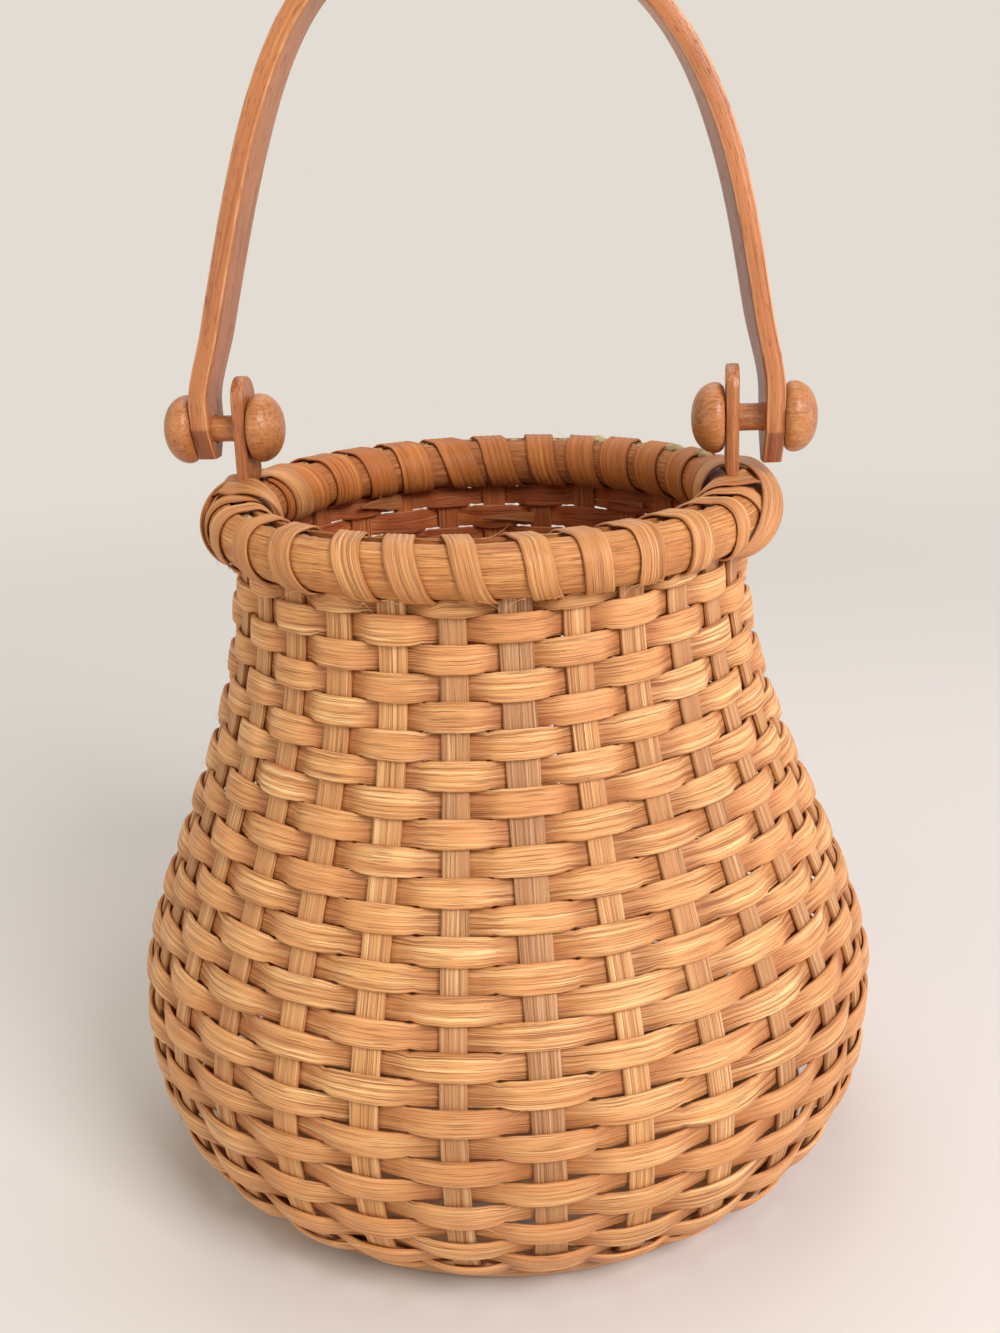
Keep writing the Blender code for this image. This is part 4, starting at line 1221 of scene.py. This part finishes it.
@dataclass(frozen=True)
class Hardware:
    """The ears, the pins with their knobs, and the handle."""

    pin_height: float = 0.2007
    pin_radius: float = 0.0035
    pin_clearance: float = 0.00015
    knob_radius: float = 0.0089
    knob_length: float = 0.0083
    knob_face_radius: float = 0.0078
    inner_knob_face: float = 0.0611
    outer_knob_face: float = 0.0760
    ear_inner: float = 0.0614
    ear_outer: float = 0.0647
    foot_inner: float = 0.0624
    foot_outer: float = 0.0638
    ear_half_width: float = 0.0065
    ear_above_pin: float = 0.0135
    ear_bottom: float = 0.1724
    shoulder: float = 0.1854
    shoulder_height: float = 0.0024
    leg_x: Mapping[Side, float] = field(default_factory=lambda: {Side.LEFT: 0.0732, Side.RIGHT: 0.07295})
    handle_width: float = 0.0140
    handle_thickness: float = 0.0047
    foot_below_pin: Mapping[Side, float] = field(default_factory=lambda: {Side.LEFT: 0.0076, Side.RIGHT: 0.0112})
    foot_slope: float = 0.0086
    foot_end: float = 0.38
    leg_twist: Mapping[Side, float] = field(default_factory=lambda: {
        Side.LEFT: math.radians(-4.0), Side.RIGHT: math.radians(10.0)})
    twist_at_pin: float = 0.6
    twist_height: float = 0.025
    edge_rounding: float = 0.0006
    upright: float = 0.0060
    lean: Mapping[Side, float] = field(default_factory=lambda: {
        Side.LEFT: math.radians(15.0), Side.RIGHT: math.radians(10.4)})
    lean_top: float = 0.0260
    leg_reach: Mapping[Side, float] = field(default_factory=lambda: {Side.LEFT: 0.0670, Side.RIGHT: 0.0329})
    crown_reach: Mapping[Side, float] = field(default_factory=lambda: {Side.LEFT: 0.0390, Side.RIGHT: 0.0602})
    crown_x: float = -0.0020
    rise: float = 0.1170

    def knob(self, face: float) -> np.ndarray:
        """(radius, distance) pairs of a knob: an eased flat face, a belt and a quarter ellipse over its end."""
        turn = np.linspace(0.0, math.pi / 2, 18)
        widest = face + 0.0022
        dome = np.column_stack([self.knob_radius * np.cos(turn) ** 0.88,
                                widest + (self.knob_length - 0.0022) * np.sin(turn)])
        edge = [(self.knob_face_radius - 0.0006, face), (self.knob_face_radius, face + 0.0002),
                (self.knob_radius - 0.0004, face + 0.0009), (self.knob_radius - 0.0001, face + 0.0016)]
        return np.vstack([edge, dome])

    def pins(self) -> None:
        """Each pin is a dowel turned in one piece with its outer knob, and its inner knob is pushed on."""
        finish = FINISHES["knob_wood"].material()
        for side in Side:
            axis = Vector((side.value, 0, 0))
            start = self.inner_knob_face - 0.0057
            dowel = [(0.0, start), (self.pin_radius - 0.0004, start), (self.pin_radius, start + 0.0004),
                     (self.pin_radius, self.ear_inner), (self.pin_radius - 0.0001, self.ear_outer + 0.003),
                     (self.pin_radius, self.outer_knob_face)]
            line = np.vstack([dowel, self.knob(self.outer_knob_face)])
            piece = Skin().add(turned(line, 56, self.pin_height, axis)).build(f"pin_and_knob_{side.label}")
            fit(piece, side.pin_body, finish, [f"pin_{side.label}"])
            bore = self.pin_radius + self.pin_clearance
            hollow = [(0.0, 0.006), (bore, 0.006), (bore, 0.0)]
            line = np.vstack([hollow, self.knob(0.0)])
            grid = turned(line, 56, self.pin_height, -axis)
            grid[..., 0] += side.value * self.inner_knob_face
            piece = Skin().add(grid).build(f"pushed_knob_{side.label}")
            fit(piece, side.pin_body, finish, [f"inner_knob_{side.label}"])

    def ears(self) -> None:
        """Each ear is a sheet between its bore and its outline, as thick as its height says, with eased edges.

        A point lies at pin centre + r (cos a, sin a) with r from the bore to the outline, and its two faces lie at
        the foot's or the head's X, drawn together by 1 - sqrt(1 - e^2) at the rim, e being how deep it is in the ease.
        """
        finish = FINISHES["ear_wood"].material()
        angle = np.linspace(0.0, 2 * math.pi, 144, endpoint=False)
        direction = np.stack([np.cos(angle), np.sin(angle)], axis=-1)
        half = self.ear_half_width
        arc_centre = self.ear_above_pin - half
        drop = self.pin_height - self.ear_bottom
        with np.errstate(divide="ignore"):
            to_side = half / np.abs(direction[:, 0])
            to_foot = np.where(direction[:, 1] < 0, drop / np.abs(direction[:, 1]), np.inf)
        to_arc = arc_centre * direction[:, 1] + np.sqrt(np.maximum(half**2 - (arc_centre * direction[:, 0])**2, 0.0))
        straight = np.minimum(to_side, to_foot)
        outline = np.where(straight * direction[:, 1] > arc_centre, to_arc, straight)
        bore = self.pin_radius + self.pin_clearance
        ease = 0.0006
        turn = np.radians(np.array([90.0, 60.0, 30.0, 0.0]))
        for side in Side:
            steps = [bore + (outline - ease - bore) * share for share in np.linspace(0.0, 1.0, 9)]
            rings = [(step, 1.0) for step in steps]
            rings += [(outline - ease * (1 - np.cos(t)), np.sin(t)) for t in turn[1:]]
            rings = rings + [(step, -depth) for step, depth in rings[::-1]]
            sheets = []
            for reach, face in rings:
                y = reach * direction[:, 0]
                z = reach * direction[:, 1] + self.pin_height
                rise = np.clip((z - self.shoulder) / self.shoulder_height, 0.0, 1.0)
                near = self.foot_inner + (self.ear_inner - self.foot_inner) * rise
                far = self.foot_outer + (self.ear_outer - self.foot_outer) * rise
                thick = (far - near) / 2
                pulled = thick - np.minimum(ease, thick) * (1 - abs(face))
                x = (near + far) / 2 + np.sign(face) * pulled
                sheets.append(np.stack([side.value * x, y, z], axis=-1))
            grid = np.stack(sheets, axis=0)
            piece = Skin().add(grid.transpose(1, 0, 2), joined=True).build(f"wooden_ear_{side.label}")
            fit(piece, Body.BASKET, finish, [f"ear_{side.label}"])

    def leg(self, side: Side) -> np.ndarray:
        """Half of the bent strip, from a foot up to the crown.

        Args:
            side: Which foot.

        Returns:
            Its (x, height above the pins, half width, twist, painted shade on the foot's sloped end, painted shade on
            the inner face) at each place.
        """
        share = np.linspace(0.0, 1.0, 12)
        below = self.foot_below_pin[side]
        leg = self.leg_x[side]
        foot = np.column_stack([np.full(12, leg), self.foot_slope * share - below])
        shank = np.column_stack([np.full(5, leg), np.linspace(foot[-1, 1], self.upright, 6)[1:]])
        lean = np.array([-math.sin(self.lean[side]), math.cos(self.lean[side])])
        start = np.array([leg - (self.lean_top - self.upright) * math.tan(self.lean[side]), self.lean_top])
        knee = bezier(shank[-1], shank[-1] + np.array([0.0, 0.006]), start - 0.008 * lean, start, 10)[1:]
        crown = np.array([side.value * self.crown_x, self.rise])
        arriving = crown + np.array([self.crown_reach[side], 0.0])
        arch = bezier(start, start + self.leg_reach[side] * lean, arriving, crown, 70)[1:]
        line = np.vstack([foot, shank, knee, arch])
        sloped = self.foot_end + (1 - self.foot_end) * (1.25 * share - 0.25 * share**2)
        widths = np.concatenate([sloped, np.ones(len(line) - 12)]) * self.handle_width / 2
        twist = np.interp(line[:, 1], (0.0, self.twist_height, 0.6 * self.rise, self.rise),
                          (self.twist_at_pin, 1.0, 1.0, 0.0))
        # Painted shade on the foot's sloped end, which faces down.
        foot_shade = np.concatenate([np.full(11, 0.8), np.zeros(len(line) - 11)])
        fading = np.interp(line[:, 1], (0.4 * self.rise, 0.8 * self.rise), (1.0, 0.0))
        # Painted shade on the inner face, strong on the right leg and faint on the left, fading out towards the crown.
        inner_face_shade = (1.0 if side is Side.RIGHT else 0.15) * fading
        return np.column_stack([side.value * line[:, 0], line[:, 1], widths, self.leg_twist[side] * twist,
                                foot_shade, inner_face_shade])

    def handle(self) -> None:
        """One bent strip with eased edges. Its holes are cut by a rod along the pins' line."""
        parts = np.vstack([self.leg(Side.RIGHT), self.leg(Side.LEFT)[-2::-1]])
        line, widths, twist = parts[:, :2], parts[:, 2], parts[:, 3]
        centres = np.column_stack([line[:, 0], np.zeros(len(line)), line[:, 1] + self.pin_height])
        across = np.column_stack([-np.sin(twist), np.cos(twist), 0 * twist])
        section = reed_section(widths, self.handle_thickness, self.edge_rounding, 0.0)
        inwards = np.array([0.0, 0.0, self.pin_height]) - centres
        corners = section.shape[1]
        edge, inner = np.zeros(corners), np.zeros(corners)
        edge[[1, corners // 2 - 2, corners // 2 + 1, -2]] = 1.0
        inner[corners // 2 + 2:-2] = 1.0
        # The mark is 1 on the worn edges and minus the painted shade elsewhere.
        painted_shade_mask = np.maximum(parts[:, 4:5] * np.ones(corners), parts[:, 5:6] * inner)
        mark = np.where(edge > 0, 1.0, -painted_shade_mask)
        grid = ribbon(centres, across, -inwards, section)
        piece = Skin().add(grid, mark=mark).build("bent_handle")
        bore = self.pin_radius + self.pin_clearance
        rod_line = np.array([(bore, -0.1), (bore, 0.1)])
        rod = Skin().add(turned(rod_line, 56, self.pin_height, Vector((1, 0, 0)))).build("boring_rod")
        cut = piece.modifiers.new("bore", "BOOLEAN")
        cut.solver = "EXACT"
        cut.operation = "DIFFERENCE"
        cut.object = rod
        ready = piece.evaluated_get(bpy.context.evaluated_depsgraph_get())
        bored = bpy.data.meshes.new_from_object(ready)
        piece.modifiers.clear()
        piece.data = bored
        bpy.data.objects.remove(rod, do_unlink=True)
        bored.set_sharp_from_angle(angle=SHARP_ANGLE)
        fit(piece, Body.HANDLE, FINISHES["handle_wood"].material(), ["handle"])

    def build(self) -> None:
        """The ears, the pins and the handle, in that order."""
        self.ears()
        self.pins()
        self.handle()


@dataclass(frozen=True)
class Studio:
    """The camera, the soft lamps and the pale floor."""

    camera_place: tuple[float, float, float] = (0.0488, -0.3856, 0.2635)
    heading: float = math.radians(7.0)
    pitch: float = math.radians(18.36)
    roll: float = math.radians(-2.41)
    lens: float = 40.8
    floor_colour: Colour = (0.72, 0.69, 0.65)
    sky_colour: Colour = (0.765, 0.715, 0.65)
    fade: tuple[float, float] = (0.25, 1.0)

    def camera(self) -> None:
        """A camera at the photograph's viewing angle, looking along its heading and pitched down."""
        data = bpy.data.cameras.new("camera")
        data.lens = self.lens
        data.sensor_width = 36.0
        data.clip_start = 0.01
        camera = bpy.data.objects.new("camera", data)
        bpy.context.scene.collection.objects.link(camera)
        level = math.cos(self.pitch)
        forward = Vector((-math.sin(self.heading) * level, math.cos(self.heading) * level, -math.sin(self.pitch)))
        right = forward.cross(Vector((0, 0, 1))).normalized()
        up = right.cross(forward)
        turned_right = right * math.cos(self.roll) + up * math.sin(self.roll)
        turned_up = up * math.cos(self.roll) - right * math.sin(self.roll)
        axes = Matrix((turned_right, turned_up, -forward)).transposed().to_4x4()
        camera.matrix_world = Matrix.Translation(Vector(self.camera_place)) @ axes
        bpy.context.scene.camera = camera

    def lamp(self, name: str, place: Sequence[float], size: float, power: float, colour: Colour) -> None:
        """A square soft lamp aimed at the middle of the basket."""
        data = bpy.data.lights.new(name, "AREA")
        data.size = size
        data.energy = power
        data.color = colour
        lamp = bpy.data.objects.new(name, data)
        bpy.context.scene.collection.objects.link(lamp)
        lamp.location = place
        lamp.rotation_euler = (Vector((0.0, 0.0, 0.12)) - Vector(place)).to_track_quat("-Z", "Y").to_euler()

    def world(self) -> None:
        """A sky that lights at a moderate level and shows its pale colour to the camera and in reflections."""
        world = bpy.data.worlds.new("sky")
        bpy.context.scene.world = world
        world.use_nodes = True
        tree = world.node_tree
        tree.nodes.clear()
        rays = tree.nodes.new("ShaderNodeLightPath")
        seen = tree.nodes.new("ShaderNodeBackground")
        seen.inputs[0].default_value = (*self.sky_colour, 1.0)
        lit = tree.nodes.new("ShaderNodeBackground")
        lit.inputs[0].default_value = (1.0, 0.985, 0.96, 1.0)
        lit.inputs[1].default_value = 0.42
        mix = tree.nodes.new("ShaderNodeMixShader")
        output = tree.nodes.new("ShaderNodeOutputWorld")
        seen_by = [rays.outputs[kind] for kind in ("Is Camera Ray", "Is Glossy Ray", "Is Transmission Ray")]
        for output_socket in seen_by[1:]:
            either = tree.nodes.new("ShaderNodeMath")
            either.operation = "MAXIMUM"
            tree.links.new(seen_by[0], either.inputs[0])
            tree.links.new(output_socket, either.inputs[1])
            seen_by[0] = either.outputs[0]
        tree.links.new(seen_by[0], mix.inputs[0])
        tree.links.new(lit.outputs[0], mix.inputs[1])
        tree.links.new(seen.outputs[0], mix.inputs[2])
        tree.links.new(mix.outputs[0], output.inputs[0])

    def floor(self) -> None:
        """A wide pale disc that takes the shadow near the basket and fades to the sky's colour further out."""
        shader = Shader("pale_floor")
        x, y, _ = shader.place()
        mottling = shader.noise(x / 0.02, y / 0.02, 0.0, 2.0)
        colour = shader.mix(mottling * 0.10, self.floor_colour, tuple(0.97 * part for part in self.floor_colour))
        material = shader.finish(colour, 0.7, mottling, 0.00002, {"Specular IOR Level": 0.2})
        away = ((x * x + y * y) ** 0.5).between(self.fade[0], self.fade[1])
        rays = shader.node("ShaderNodeLightPath", {}, {}).outputs
        seen = Term(shader, rays["Is Camera Ray"]).either(Term(shader, rays["Is Glossy Ray"]))
        seen = seen.either(Term(shader, rays["Is Transmission Ray"]))
        glow = shader.node("ShaderNodeEmission", {}, {"Color": (*self.sky_colour, 1.0), "Strength": 1.0})
        ends = {0: away * seen, 1: Term(shader, shader.principled.outputs[0]), 2: Term(shader, glow.outputs[0])}
        faded = shader.node("ShaderNodeMixShader", {}, ends)
        output = shader.tree.nodes["Material Output"]
        shader.tree.links.new(faded.outputs[0], output.inputs["Surface"])
        angle = np.linspace(0.0, 2 * math.pi, 96, endpoint=False)
        rings = [np.column_stack([radius * np.cos(angle), radius * np.sin(angle), np.full(96, height)])
                 for radius, height in ((14.0, -0.05), (14.0, 0.0))]
        piece = Skin().add(np.stack(rings)).build("floor")
        piece.data.materials.append(material)

    def build(self) -> None:
        """Camera, lamps, sky and floor."""
        self.camera()
        self.lamp("key", (0.75, -0.85, 0.95), 0.6, 16.4, (1.0, 0.96, 0.98))
        self.lamp("side", (1.25, 0.05, 0.45), 0.7, 4.5, (1.0, 0.84, 0.95))
        self.lamp("fill", (-1.0, -0.7, 0.6), 1.0, 4.1, (1.0, 0.90, 0.72))
        self.lamp("top", (-0.1, 0.5, 1.1), 0.8, 3.5, (1.0, 0.98, 0.96))
        self.world()
        self.floor()
        bpy.context.scene.view_settings.view_transform = "Standard"


def main() -> None:
    """Builds the basket from its base up, then the handle and the studio, and reports each piece."""
    logging.basicConfig(level=logging.INFO, format="%(name)s: %(message)s")
    random = np.random.default_rng(SEED)
    wall = Wall()
    Base().build()
    weave, rim = Weave(wall), Rim(wall)
    Stakes(wall).build(random)
    weave.build(random)
    rim.build(random)
    Frays(weave, rim).build(random)
    Hardware().build()
    Studio().build()


if __name__ == "__main__":
    main()
